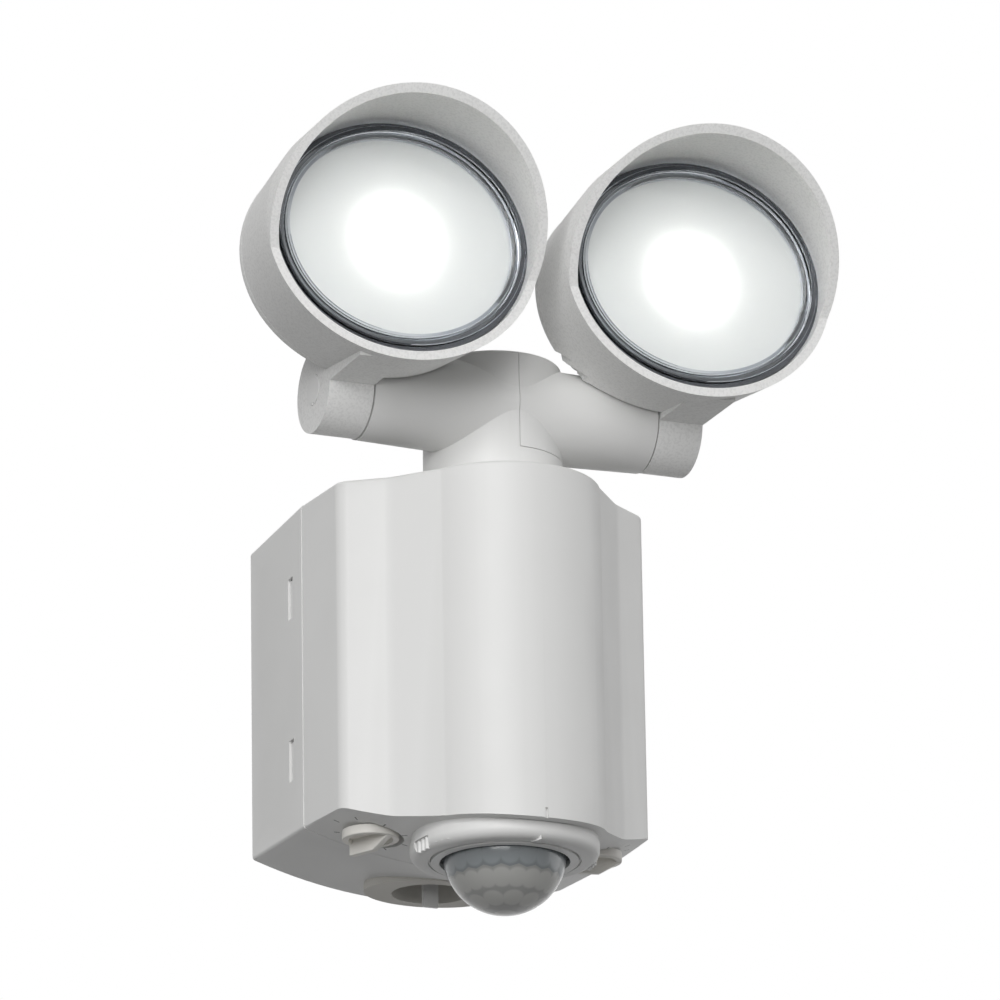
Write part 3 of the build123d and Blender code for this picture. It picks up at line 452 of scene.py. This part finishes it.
def dome_material(name, colour, shared):
    """Milky lens of the sensor: three rows of moulded facets over a plain pole, with painted shade:
    the upper row greyer and more blue for the dark sensor behind it, and dark creases between
    facets."""
    material, nodes, links, shader = start_material(name)
    effect = group_node(nodes, shared["grain"], Scale=1800.0, Rough_low=0.12, Rough_high=0.2)
    links.new(effect.outputs["Roughness"], shader.inputs["Roughness"])
    vector, _ = placed(nodes, links, DOME_CENTRE)
    direction = nodes.new("ShaderNodeVectorMath")
    direction.operation = "NORMALIZE"
    links.new(vector, direction.inputs[0])
    rows = []
    for angle, count, turn in DOME_ROWS:
        row = group_node(nodes, shared["facets"], Down=math.radians(angle), Count=float(count),
                         Turn=turn)
        links.new(direction.outputs["Vector"], row.inputs["Direction"])
        rows.append(row.outputs["Nearness"])
    lower = maths(nodes, links, "MAXIMUM", rows[1], rows[2])
    nearest = maths(nodes, links, "MAXIMUM", rows[0], lower)
    parts = nodes.new("ShaderNodeSeparateXYZ")
    links.new(direction.outputs["Vector"], parts.inputs["Vector"])
    pole = maths(nodes, links, "MULTIPLY", parts.outputs["Z"], -1.0)
    cells = maths(nodes, links, "MAXIMUM", nearest, pole)
    # Painted shade: dark lines along the creases between facets.
    rim = ramp(nodes, links, cells, 0.980, 0.990, 0.34, 0.0)
    # Painted shade: the upper row greyer and more blue for the dark sensor behind it.
    top = maths(nodes, links, "GREATER_THAN", rows[0], lower)
    painted_shade_tint = [c * share for c, share in zip(colour, (0.66, 0.72, 0.78))]
    upper = mix_colours(nodes, links, top, colour, painted_shade_tint)
    base = mix_colours(nodes, links, rim, upper, (0.05, 0.06, 0.07))
    links.new(base, shader.inputs["Base Color"])
    raise_surface(nodes, links, shader, cells, 0.35, 6)
    shader.inputs["IOR"].default_value = 1.5
    shader.inputs["Transmission Weight"].default_value = 0.35
    return material


def mark_cover(material, colour):
    """Printed ticks round the two dials, on the underside of the cover."""
    nodes, links = material.node_tree.nodes, material.node_tree.links
    shader = nodes["Principled BSDF"]
    base = shader.inputs["Base Color"].links[0].from_socket
    ink = None
    for side in (-1, 1):
        _, (x, y, z) = placed(nodes, links, (side * KNOB_X, KNOB_Y, 0))
        reach = far_from(nodes, links, x, y)
        band = maths(nodes, links, "COMPARE", reach, TICK_REACH, TICK_HALF_L)
        angle = maths(nodes, links, "ARCTAN2", y, x)
        turn = maths(nodes, links, "MULTIPLY", angle, TICK_COUNT / math.tau)
        beside = maths(nodes, links, "ABSOLUTE", maths(
            nodes, links, "SUBTRACT", turn, maths(nodes, links, "ROUND", turn)))
        swing = maths(nodes, links, "MULTIPLY", beside, math.tau / TICK_COUNT)
        tick = maths(nodes, links, "LESS_THAN",
                     maths(nodes, links, "MULTIPLY", swing, reach), TICK_HALF_W)
        below = maths(nodes, links, "LESS_THAN", z, UNDERSIDE_Z)
        mark = maths(nodes, links, "MULTIPLY", maths(nodes, links, "MULTIPLY", band, tick), below)
        ink = mark if ink is None else maths(nodes, links, "ADD", ink, mark, clamp=True)
    links.new(mix_colours(nodes, links, ink, base, colour), shader.inputs["Base Color"])
    return material


def make_materials(values):
    """Every finish of the light, by its slot."""
    shared = {"grain": moulded_grain_group(), "edge": edge_sheen_group(), "facets": facet_row_group()}
    shell = tuple(values.shell_colour)
    knob, bush = tuple(values.knob_colour), tuple(values.bush_colour)
    made = {
        "shell": moulded_material("white_moulding", shell, shared),
        "hood": moulded_material(
            "sanded_white_moulding", tuple(c * 1.12 for c in shell), shared, rough=(0.52, 0.62),
            scale=1300.0, bump=0.55, edge=0.04, pit_shade=0.16, distance=0.12),
        "cover": mark_cover(moulded_material("marked_white_moulding", shell, shared),
                            tuple(values.mark_colour)),
        "knob": moulded_material("cream_knob", knob, shared, (0.45, 0.55), 1800.0, 0.1),
        "rubber": moulded_material("black_rubber", (0.03, 0.03, 0.03), shared, (0.6, 0.75),
                                   1500.0, 0.2, 0.2),
        "bush": moulded_material("grey_rubber", bush, shared, (0.55, 0.66), 1500.0, 0.15),
        "steel": metal_material("plated_steel", (0.62, 0.62, 0.63), shared),
        "brass": metal_material("turned_brass", (0.72, 0.52, 0.22), shared),
        "terminal": moulded_material("ivory_terminal", (0.75, 0.73, 0.62), shared, (0.35, 0.45)),
        "board": moulded_material("green_board", (0.02, 0.10, 0.04), shared, (0.3, 0.4),
                                  700.0, 0.1, 0.3),
        "board_white": moulded_material("white_board", (0.80, 0.80, 0.78), shared, (0.35, 0.45),
                                        700.0),
        "iron": metal_material("laminated_core", (0.08, 0.08, 0.09), shared, (0.4, 0.55), 400.0),
        "can": metal_material("sleeved_can", (0.30, 0.32, 0.40), shared),
        "relay": moulded_material("blue_case", (0.02, 0.04, 0.16), shared, (0.3, 0.4)),
        "plate": metal_material("lamp_plate_metal", (0.75, 0.75, 0.76), shared, (0.35, 0.5)),
        "emitter": glow_material("lit_phosphor", (1.0, 0.98, 0.93), values.glow),
        "dome": dome_material("milky_dome", tuple(values.dome_colour), shared),
    }
    for side, sign in HEAD_SIDES:
        centre = (sign * HEAD_X, 0, HEAD_Z)
        made[side + "_lens"] = lens_material(
            side + "_lens_plastic", centre, DISC_HALF_W, DISC_HALF_H, tuple(values.lens_tint),
            tuple(values.rim_painted_shade))
        made[side + "_reflector"] = reflector_material(
            side + "_painted_glow_bowl", centre, REFLECTOR_HOLE, REFLECTOR_EDGE, (0.86, 0.87, 0.86),
            values.bowl_painted_glow, shared)
    return made


def material_name(node, slot):
    """The finish of a node: its slot's own, or the one that its place asks for."""
    side = node.split("_")[0]
    if slot in ("lens", "reflector"):
        return f"{side}_{slot}"
    if slot == "shell" and ("hood" in node or "back_cover" in node):
        return "hood"
    if node == "front_cover":
        return "cover"
    return slot


class SECURITYLIGHT_OT_finish_nodes(bpy.types.Operator):
    """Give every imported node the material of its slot"""

    bl_idname = "security_light.finish_nodes"
    bl_label = "Finish the packed pieces"

    def execute(self, context):
        materials = make_materials(context.scene.security_light_finish)
        slot_of = {row["node"]: row["material_slot"] for row in frame["record"]["subparts"]}
        for name, node in frame["nodes"].items():
            node.data.materials.clear()
            node.data.materials.append(materials[material_name(name, slot_of[name])])
        return {"FINISHED"}


# ---------------------------------------------------------------- modelling
def only(obj):
    """Select one object alone and make it the active one."""
    bpy.ops.object.select_all(action="DESELECT")
    obj.select_set(True)
    bpy.context.view_layer.objects.active = obj
    return obj


def pick(obj, test):
    """Enter edit mode with the vertices selected whose place in millimetres passes a test."""
    only(obj)
    bpy.ops.object.mode_set(mode="EDIT")
    bpy.ops.mesh.select_mode(type="VERT")
    bpy.ops.mesh.select_all(action="DESELECT")
    bpy.ops.object.mode_set(mode="OBJECT")
    for vertex in obj.data.vertices:
        vertex.select = bool(test(*(value / MM for value in vertex.co)))
    bpy.ops.object.mode_set(mode="EDIT")


def shift(x, y, z):
    """Move what is selected, in millimetres."""
    bpy.ops.transform.translate(value=(x * MM, y * MM, z * MM))


def leave_edit():
    bpy.ops.object.mode_set(mode="OBJECT")


def apply_place(obj):
    """Put an object's place, turn and size into its mesh."""
    only(obj)
    bpy.ops.object.transform_apply(location=True, rotation=True, scale=True)


def apply_modifier(obj, kind, **values):
    """Add a modifier, set it and apply it."""
    only(obj)
    modifier = obj.modifiers.new(kind.lower(), kind)
    for name, value in values.items():
        setattr(modifier, name, value)
    bpy.ops.object.modifier_apply(modifier=modifier.name)


def join(name, *parts):
    """Make one named piece of several."""
    bpy.ops.object.select_all(action="DESELECT")
    for part in parts:
        part.select_set(True)
    bpy.context.view_layer.objects.active = parts[0]
    bpy.ops.object.join()
    parts[0].name = name
    return parts[0]


def finish_piece(obj, body, slot, material, *nodes, angle=35):
    """Smooth a new piece, give it its finish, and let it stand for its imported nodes."""
    only(obj)
    obj.data.name = obj.name
    if angle:
        bpy.ops.object.shade_smooth_by_angle(angle=math.radians(angle))
    obj.data.materials.clear()
    obj.data.materials.append(bpy.data.materials[material])
    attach(obj, body)
    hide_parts(*nodes)
    return obj


def copied_node(node, name):
    """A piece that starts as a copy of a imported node, its loose faces merged."""
    obj = bpy.data.objects.new(name, frame["nodes"][node].data.copy())
    bpy.context.scene.collection.objects.link(obj)
    only(obj)
    bpy.ops.object.mode_set(mode="EDIT")
    bpy.ops.mesh.select_all(action="SELECT")
    bpy.ops.mesh.remove_doubles(threshold=0.001 * MM)
    leave_edit()
    bpy.ops.mesh.customdata_custom_splitnormals_clear()
    return obj


def round_bar(name, radius, low, high, place=(0, 0), sides=64, turn=0.0):
    """Upright bar between two heights."""
    bpy.ops.object.select_all(action="DESELECT")
    bpy.ops.mesh.primitive_cylinder_add(
        vertices=sides, radius=radius * MM, depth=(high - low) * MM,
        rotation=(0, 0, math.radians(turn)),
        location=(place[0] * MM, place[1] * MM, (low + high) / 2 * MM))
    obj = bpy.context.object
    obj.name = name
    apply_place(obj)
    return obj


def oval_piece(name, centre, loops, closed=False):
    """Moulding round an oval: a ring of edges is extruded and resized from loop to loop, each
    with its half width, half height and depth, and its ends are filled or joined."""
    x, z = centre
    half_w, half_h, depth = loops[0]
    bpy.ops.object.select_all(action="DESELECT")
    bpy.ops.mesh.primitive_circle_add(
        vertices=OVAL_SIDES, radius=MM, location=(x * MM, -depth * MM, z * MM),
        rotation=(math.pi / 2, 0, 0))
    obj = bpy.context.object
    obj.name = name
    obj.scale = (half_w, half_h, 1)
    apply_place(obj)
    bpy.ops.object.mode_set(mode="EDIT")
    bpy.ops.mesh.select_mode(type="EDGE")
    bpy.ops.mesh.select_all(action="SELECT")
    steps = list(loops[1:]) + ([loops[0]] if closed else [])
    for wide, high, deep in steps:
        bpy.ops.mesh.extrude_edges_move(
            TRANSFORM_OT_translate={"value": (0, (depth - deep) * MM, 0)})
        bpy.ops.transform.resize(value=(wide / half_w, 1, high / half_h),
                                 center_override=(x * MM, -deep * MM, z * MM))
        half_w, half_h, depth = wide, high, deep
    if not closed:
        bpy.ops.mesh.edge_face_add()
        leave_edit()
        for vertex in obj.data.vertices:
            vertex.select = vertex.index < OVAL_SIDES
        for edge in obj.data.edges:
            edge.select = max(edge.vertices) < OVAL_SIDES
        bpy.ops.object.mode_set(mode="EDIT")
        bpy.ops.mesh.edge_face_add()
    bpy.ops.mesh.select_all(action="SELECT")
    bpy.ops.mesh.remove_doubles(threshold=0.01 * MM)
    bpy.ops.mesh.normals_make_consistent(inside=False)
    leave_edit()
    return obj


# ---------------------------------------------------------------- pieces
class SECURITYLIGHT_OT_draft_cover(bpy.types.Operator):
    """Draw the cover's sides in towards the front with a lattice"""

    bl_idname = "security_light.draft_cover"
    bl_label = "Draft the cover"

    def execute(self, context):
        cover = copied_node("front_cover", "drafted_front_cover")
        low, high = (Vector(corner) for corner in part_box("front_cover"))
        size, middle = high - low, (high + low) / 2
        bpy.ops.object.select_all(action="DESELECT")
        bpy.ops.object.add(type="LATTICE", location=middle)
        cage = context.object
        cage.scale = size
        cage.data.points_u, cage.data.points_v, cage.data.points_w = 8, 5, 2
        for way in ("u", "v", "w"):
            setattr(cage.data, "interpolation_type_" + way, "KEY_LINEAR")
        draft = context.scene.security_light_finish.cover_draft
        for point in cage.data.points:
            ahead = (0.5 - point.co.y) * size.y - COVER_REACH_BACK * MM
            if abs(point.co.x) > 0.49 and ahead > 0:
                point.co_deform.x -= math.copysign(draft * ahead / size.x, point.co.x)
        apply_modifier(cover, "LATTICE", object=cage)
        bpy.data.objects.remove(cage)
        finish_piece(cover, "housing", "shell", "marked_white_moulding", "front_cover", angle=30)
        apply_modifier(cover, "WEIGHTED_NORMAL", keep_sharp=True, weight=80)
        return {"FINISHED"}


class SECURITYLIGHT_OT_mould_dome(bpy.types.Operator):
    """Model the sensor's dome: a thin ball end with a flange behind its ring"""

    bl_idname = "security_light.mould_dome"
    bl_label = "Mould the dome"

    def execute(self, context):
        x, y, z = DOME_CENTRE
        bpy.ops.object.select_all(action="DESELECT")
        bpy.ops.mesh.primitive_uv_sphere_add(segments=80, ring_count=40, radius=DOME_R * MM,
                                             location=DOME_CENTRE)
        dome = context.object
        dome.name = "moulded_sensor_dome"
        apply_place(dome)
        bpy.ops.object.mode_set(mode="EDIT")
        bpy.ops.mesh.select_all(action="SELECT")
        bpy.ops.mesh.bisect(plane_co=DOME_CENTRE, plane_no=(0, 0, 1), clear_outer=True)
        leave_edit()
        pick(dome, lambda px, py, pz: abs(pz - z / MM) < 0.01)
        bpy.ops.mesh.extrude_edges_move(
            TRANSFORM_OT_translate={"value": (0, 0, DOME_FLANGE_RISE * MM)})
        rim = DOME_FLANGE_R / DOME_R
        bpy.ops.mesh.extrude_edges_move(TRANSFORM_OT_translate={"value": (0, 0, 0)})
        bpy.ops.transform.resize(value=(rim, rim, 1), center_override=(x, y, z))
        bpy.ops.mesh.select_all(action="SELECT")
        bpy.ops.mesh.normals_make_consistent(inside=False)
        leave_edit()
        apply_modifier(dome, "SOLIDIFY", thickness=DOME_WALL * MM, offset=-1.0,
                       use_even_offset=True)
        finish_piece(dome, "sensor", "dome", "milky_dome", "sensor_dome", angle=40)
        return {"FINISHED"}


class SECURITYLIGHT_OT_mould_bezel(bpy.types.Operator):
    """Cut the finger grips into the sensor's ring and add their ribs and the pointer"""

    bl_idname = "security_light.mould_bezel"
    bl_label = "Mould the bezel"

    def execute(self, context):
        bezel = copied_node("sensor_bezel", "gripped_sensor_bezel")
        parts = [bezel]
        axis_y = DOME_CENTRE[1] / MM
        for angle in GRIP_ANGLES:
            turn = math.radians(angle)
            out = Vector((math.cos(turn), math.sin(turn)))
            along = Vector((-out.y, out.x))
            spot = out * BEZEL_R + Vector((0, axis_y))
            bpy.ops.object.select_all(action="DESELECT")
            bpy.ops.mesh.primitive_cube_add(
                size=MM, location=(spot.x * MM, spot.y * MM, GRIP_Z * MM), rotation=(0, 0, turn),
                scale=GRIP_SIZE)
            cutter = context.object
            apply_place(cutter)
            apply_modifier(bezel, "BOOLEAN", object=cutter, operation="DIFFERENCE", solver="EXACT")
            bpy.data.objects.remove(cutter)
            for side in RIB_PLACES:
                place = out * (BEZEL_R - RIB_INSET) + along * side + Vector((0, axis_y))
                parts.append(round_bar("grip_rib", RIB_R, RIB_LOW, RIB_HIGH, place, 12))
        tip_y = axis_y - POINTER_AHEAD
        pointer = round_bar("pointer", 1.0, POINTER_LOW, POINTER_HIGH, (0, tip_y), 3, 180)
        only(pointer)
        bpy.ops.transform.resize(value=POINTER_STRETCH, center_override=(0, tip_y * MM, 0))
        apply_place(pointer)
        parts.append(pointer)
        bezel = join("gripped_sensor_bezel", *parts)
        finish_piece(bezel, "sensor", "shell", "white_moulding", "sensor_bezel", angle=32)
        return {"FINISHED"}


class SECURITYLIGHT_OT_mould_knobs(bpy.types.Operator):
    """Model the two setting knobs: a hollow-faced disc with a slanted pointer blade"""

    bl_idname = "security_light.mould_knobs"
    bl_label = "Mould the knobs"

    def execute(self, context):
        for side, turn, body, node in (
                (-1, KNOB_TURNS[0], "time_dial", "time_knob"),
                (1, KNOB_TURNS[1], "light_dial", "light_knob")):
            disc = round_bar("knob_disc", KNOB_R, -KNOB_T, 0)
            pick(disc, lambda x, y, z: z < -KNOB_T / 2)
            bpy.ops.mesh.bevel(offset=KNOB_EDGE * MM, segments=3)
            leave_edit()
            self.pick_face(disc)
            for inset, depth in HOLLOW_STEPS:
                bpy.ops.mesh.inset(thickness=inset * MM)
                shift(0, 0, depth)
            leave_edit()
            bpy.ops.object.select_all(action="DESELECT")
            low, high = -KNOB_T - BLADE_DROP, -BLADE_ROOT
            bpy.ops.mesh.primitive_cube_add(
                size=MM, location=((BLADE_FLAT - BLADE_HALF_L) / 2 * MM, 0, (low + high) / 2 * MM),
                scale=(BLADE_FLAT + BLADE_HALF_L, BLADE_W, high - low))
            blade = context.object
            apply_place(blade)
            pick(blade, lambda x, y, z: x > BLADE_FLAT - 0.1)
            bpy.ops.mesh.extrude_region_move(
                TRANSFORM_OT_translate={"value": ((BLADE_HALF_L - BLADE_FLAT) * MM, 0, 0)})
            leave_edit()
            pick(blade, lambda x, y, z: x > BLADE_HALF_L - 0.1 and z < -KNOB_T)
            shift(0, 0, BLADE_DROP)
            leave_edit()
            apply_modifier(blade, "BEVEL", width=BLADE_EDGE * MM, segments=2,
                           limit_method="ANGLE")
            knob = join(node.replace("_", "_dial_"), disc, blade)
            knob.location = (side * KNOB_X, KNOB_Y, KNOB_TOP * MM)
            knob.rotation_euler = (0, 0, math.radians(turn))
            apply_place(knob)
            finish_piece(knob, body, "knob", "cream_knob", node)
        return {"FINISHED"}

    def pick_face(self, disc):
        """Select the flat face under the disc."""
        only(disc)
        bpy.ops.object.mode_set(mode="EDIT")
        bpy.ops.mesh.select_mode(type="FACE")
        bpy.ops.mesh.select_all(action="DESELECT")
        leave_edit()
        lowest = min(disc.data.polygons, key=lambda face: (face.center.z, -face.area))
        lowest.select = True
        bpy.ops.object.mode_set(mode="EDIT")


class SECURITYLIGHT_OT_mould_lamps(bpy.types.Operator):
    """Model each head's clear lens, its bowl with painted glow and raised emitter"""

    bl_idname = "security_light.mould_lamps"
    bl_label = "Mould the lamps"

    def execute(self, context):
        for side, sign in HEAD_SIDES:
            centre, body = (sign * HEAD_X / MM, HEAD_Z / MM), side + "_head"
            lens = oval_piece(side + "_ridged_lens", centre, [
                (DISC_HALF_W + out, DISC_HALF_H + out, depth) for out, depth in LENS_LOOPS])
            finish_piece(lens, body, "lens", side + "_lens_plastic", side + "_clear_lens", angle=40)
            bowl = oval_piece(side + "_painted_glow_bowl", centre, BOWL_LOOPS, closed=True)
            finish_piece(bowl, body, "reflector", side + "_painted_glow_bowl", side + "_reflector", angle=50)
            board = copied_node(side + "_led_board", side + "_raised_led_board")
            pick(board, lambda x, y, z: y < -LED_BOARD_FRONT + 0.3)
            shift(0, -LED_LIFT, 0)
            leave_edit()
            finish_piece(board, body, "board_white", "white_board", side + "_led_board")
            emitter = copied_node(side + "_led_emitter", side + "_raised_led_emitter")
            pick(emitter, lambda x, y, z: True)
            shift(0, -LED_LIFT, 0)
            leave_edit()
            finish_piece(emitter, body, "emitter", "lit_phosphor", side + "_led_emitter")
        return {"FINISHED"}


class SECURITYLIGHT_OT_hang_strap(bpy.types.Operator):
    """Hang the cable tie strap in the middle of the cable hole"""

    bl_idname = "security_light.hang_strap"
    bl_label = "Hang the strap"

    def execute(self, context):
        clamp = copied_node("cable_clamp", "strapped_cable_clamp")
        pick(clamp, lambda x, y, z: STRAP_X[0] < x < STRAP_X[1] and STRAP_Y[0] < y < STRAP_Y[1])
        shift(STRAP_SHIFT, 0, 0)
        leave_edit()
        finish_piece(clamp, "housing", "shell", "white_moulding", "cable_clamp")
        return {"FINISHED"}


# ---------------------------------------------------------------- stage
def seen_rays(nodes, links):
    """One where the camera, a glossy or a transmission ray looks, nought for other rays."""
    rays = nodes.new("ShaderNodeLightPath")
    either = maths(nodes, links, "MAXIMUM", rays.outputs["Is Camera Ray"],
                   rays.outputs["Is Glossy Ray"])
    return maths(nodes, links, "MAXIMUM", either, rays.outputs["Is Transmission Ray"])


def area_light(name, place, size, power):
    """A rectangular lamp that points at the light's housing."""
    data = bpy.data.lights.new(name, "AREA")
    data.shape = "RECTANGLE"
    data.size, data.size_y = size
    data.energy = power
    lamp = bpy.data.objects.new(name, data)
    lamp.location = place
    lamp.rotation_euler = (Vector(LIGHT_AIM) - Vector(place)).to_track_quat("-Z", "Y").to_euler()
    bpy.context.scene.collection.objects.link(lamp)


class SECURITYLIGHT_OT_build_stage(bpy.types.Operator):
    """Camera, lamps, world and a pale floor far below"""

    bl_idname = "security_light.build_stage"
    bl_label = "Build the stage"

    def execute(self, context):
        scene = context.scene
        values = scene.security_light_stage
        data = bpy.data.cameras.new("photo_camera")
        data.sensor_width = 36.0
        data.lens = values.camera_lens
        data.clip_end = 20.0
        camera = bpy.data.objects.new("photo_camera", data)
        scene.collection.objects.link(camera)
        place = Vector(values.camera_place)
        aim = (Vector(values.camera_target) - place).to_track_quat("-Z", "Y")
        roll = Matrix.Rotation(values.camera_roll, 4, "Z")
        camera.matrix_world = Matrix.Translation(place) @ aim.to_matrix().to_4x4() @ roll
        scene.camera = camera
        scene.view_settings.view_transform = "Standard"
        self.light_world(scene, values)
        self.lay_floor(values)
        area_light("key_light", KEY_PLACE, KEY_SIZE, values.key_power)
        area_light("side_light", SIDE_PLACE, SIDE_SIZE, values.side_power)
        return {"FINISHED"}

    def light_world(self, scene, values):
        """A dim world for the light's own shading that looks white where it is seen."""
        world = bpy.data.worlds.new("studio")
        scene.world = world
        world.use_nodes = True
        nodes, links = world.node_tree.nodes, world.node_tree.links
        plain = nodes["Background"]
        plain.inputs["Color"].default_value = (1, 1, 1, 1)
        plain.inputs["Strength"].default_value = values.world_level
        white = nodes.new("ShaderNodeBackground")
        white.inputs["Color"].default_value = (1, 1, 1, 1)
        white.inputs["Strength"].default_value = 1.0
        mix = nodes.new("ShaderNodeMixShader")
        links.new(seen_rays(nodes, links), mix.inputs["Fac"])
        links.new(plain.outputs[0], mix.inputs[1])
        links.new(white.outputs[0], mix.inputs[2])
        links.new(mix.outputs[0], nodes["World Output"].inputs["Surface"])

    def lay_floor(self, values):
        """A pale floor that keeps the light's shadow and adds white where it is looked at."""
        bpy.ops.object.select_all(action="DESELECT")
        bpy.ops.mesh.primitive_grid_add(x_subdivisions=8, y_subdivisions=8, size=values.floor_size,
                                        location=(0, 0, -values.floor_drop))
        floor = bpy.context.object
        floor.name = "floor"
        apply_place(floor)
        material, nodes, links, shader = start_material("pale_floor")
        grain = nodes.new("ShaderNodeTexNoise")
        grain.inputs["Scale"].default_value = 3.0
        place = nodes.new("ShaderNodeTexCoord")
        links.new(place.outputs["Object"], grain.inputs["Vector"])
        tone = mix_colours(nodes, links, grain.outputs["Fac"], (0.42,) * 3, (0.38,) * 3)
        links.new(tone, shader.inputs["Base Color"])
        shader.inputs["Roughness"].default_value = 0.9
        seen = mix_colours(nodes, links, seen_rays(nodes, links), (0, 0, 0), (0.74,) * 3)
        links.new(seen, shader.inputs["Emission Color"])
        shader.inputs["Emission Strength"].default_value = 1.0
        floor.data.materials.append(material)


class SECURITYLIGHT_PT_panel(bpy.types.Panel):
    """Settings and steps of the security light"""

    bl_idname = "SECURITYLIGHT_PT_panel"
    bl_label = "Security light"
    bl_space_type = "VIEW_3D"
    bl_region_type = "UI"
    bl_category = "Security light"

    def draw(self, context):
        column = self.layout.column()
        for operator in OPERATORS:
            column.operator(operator.bl_idname)
        for settings in (context.scene.security_light_finish, context.scene.security_light_stage):
            for name in settings.__annotations__:
                column.prop(settings, name)


OPERATORS = (SECURITYLIGHT_OT_finish_nodes, SECURITYLIGHT_OT_draft_cover,
             SECURITYLIGHT_OT_mould_dome, SECURITYLIGHT_OT_mould_bezel,
             SECURITYLIGHT_OT_mould_knobs, SECURITYLIGHT_OT_mould_lamps,
             SECURITYLIGHT_OT_hang_strap, SECURITYLIGHT_OT_build_stage)
CLASSES = (FinishSettings, StageSettings, *OPERATORS, SECURITYLIGHT_PT_panel)


def register():
    for cls in CLASSES:
        bpy.utils.register_class(cls)
    bpy.types.Scene.security_light_finish = bpy.props.PointerProperty(type=FinishSettings)
    bpy.types.Scene.security_light_stage = bpy.props.PointerProperty(type=StageSettings)


def unregister():
    del bpy.types.Scene.security_light_stage
    del bpy.types.Scene.security_light_finish
    for cls in reversed(CLASSES):
        bpy.utils.unregister_class(cls)


def main():
    """Register the add-on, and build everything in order."""
    register()
    bpy.ops.security_light.finish_nodes()
    bpy.ops.security_light.draft_cover()
    bpy.ops.security_light.mould_dome()
    bpy.ops.security_light.mould_bezel()
    bpy.ops.security_light.mould_knobs()
    bpy.ops.security_light.mould_lamps()
    bpy.ops.security_light.hang_strap()
    bpy.ops.security_light.build_stage()


if __name__ == "__main__":
    main()
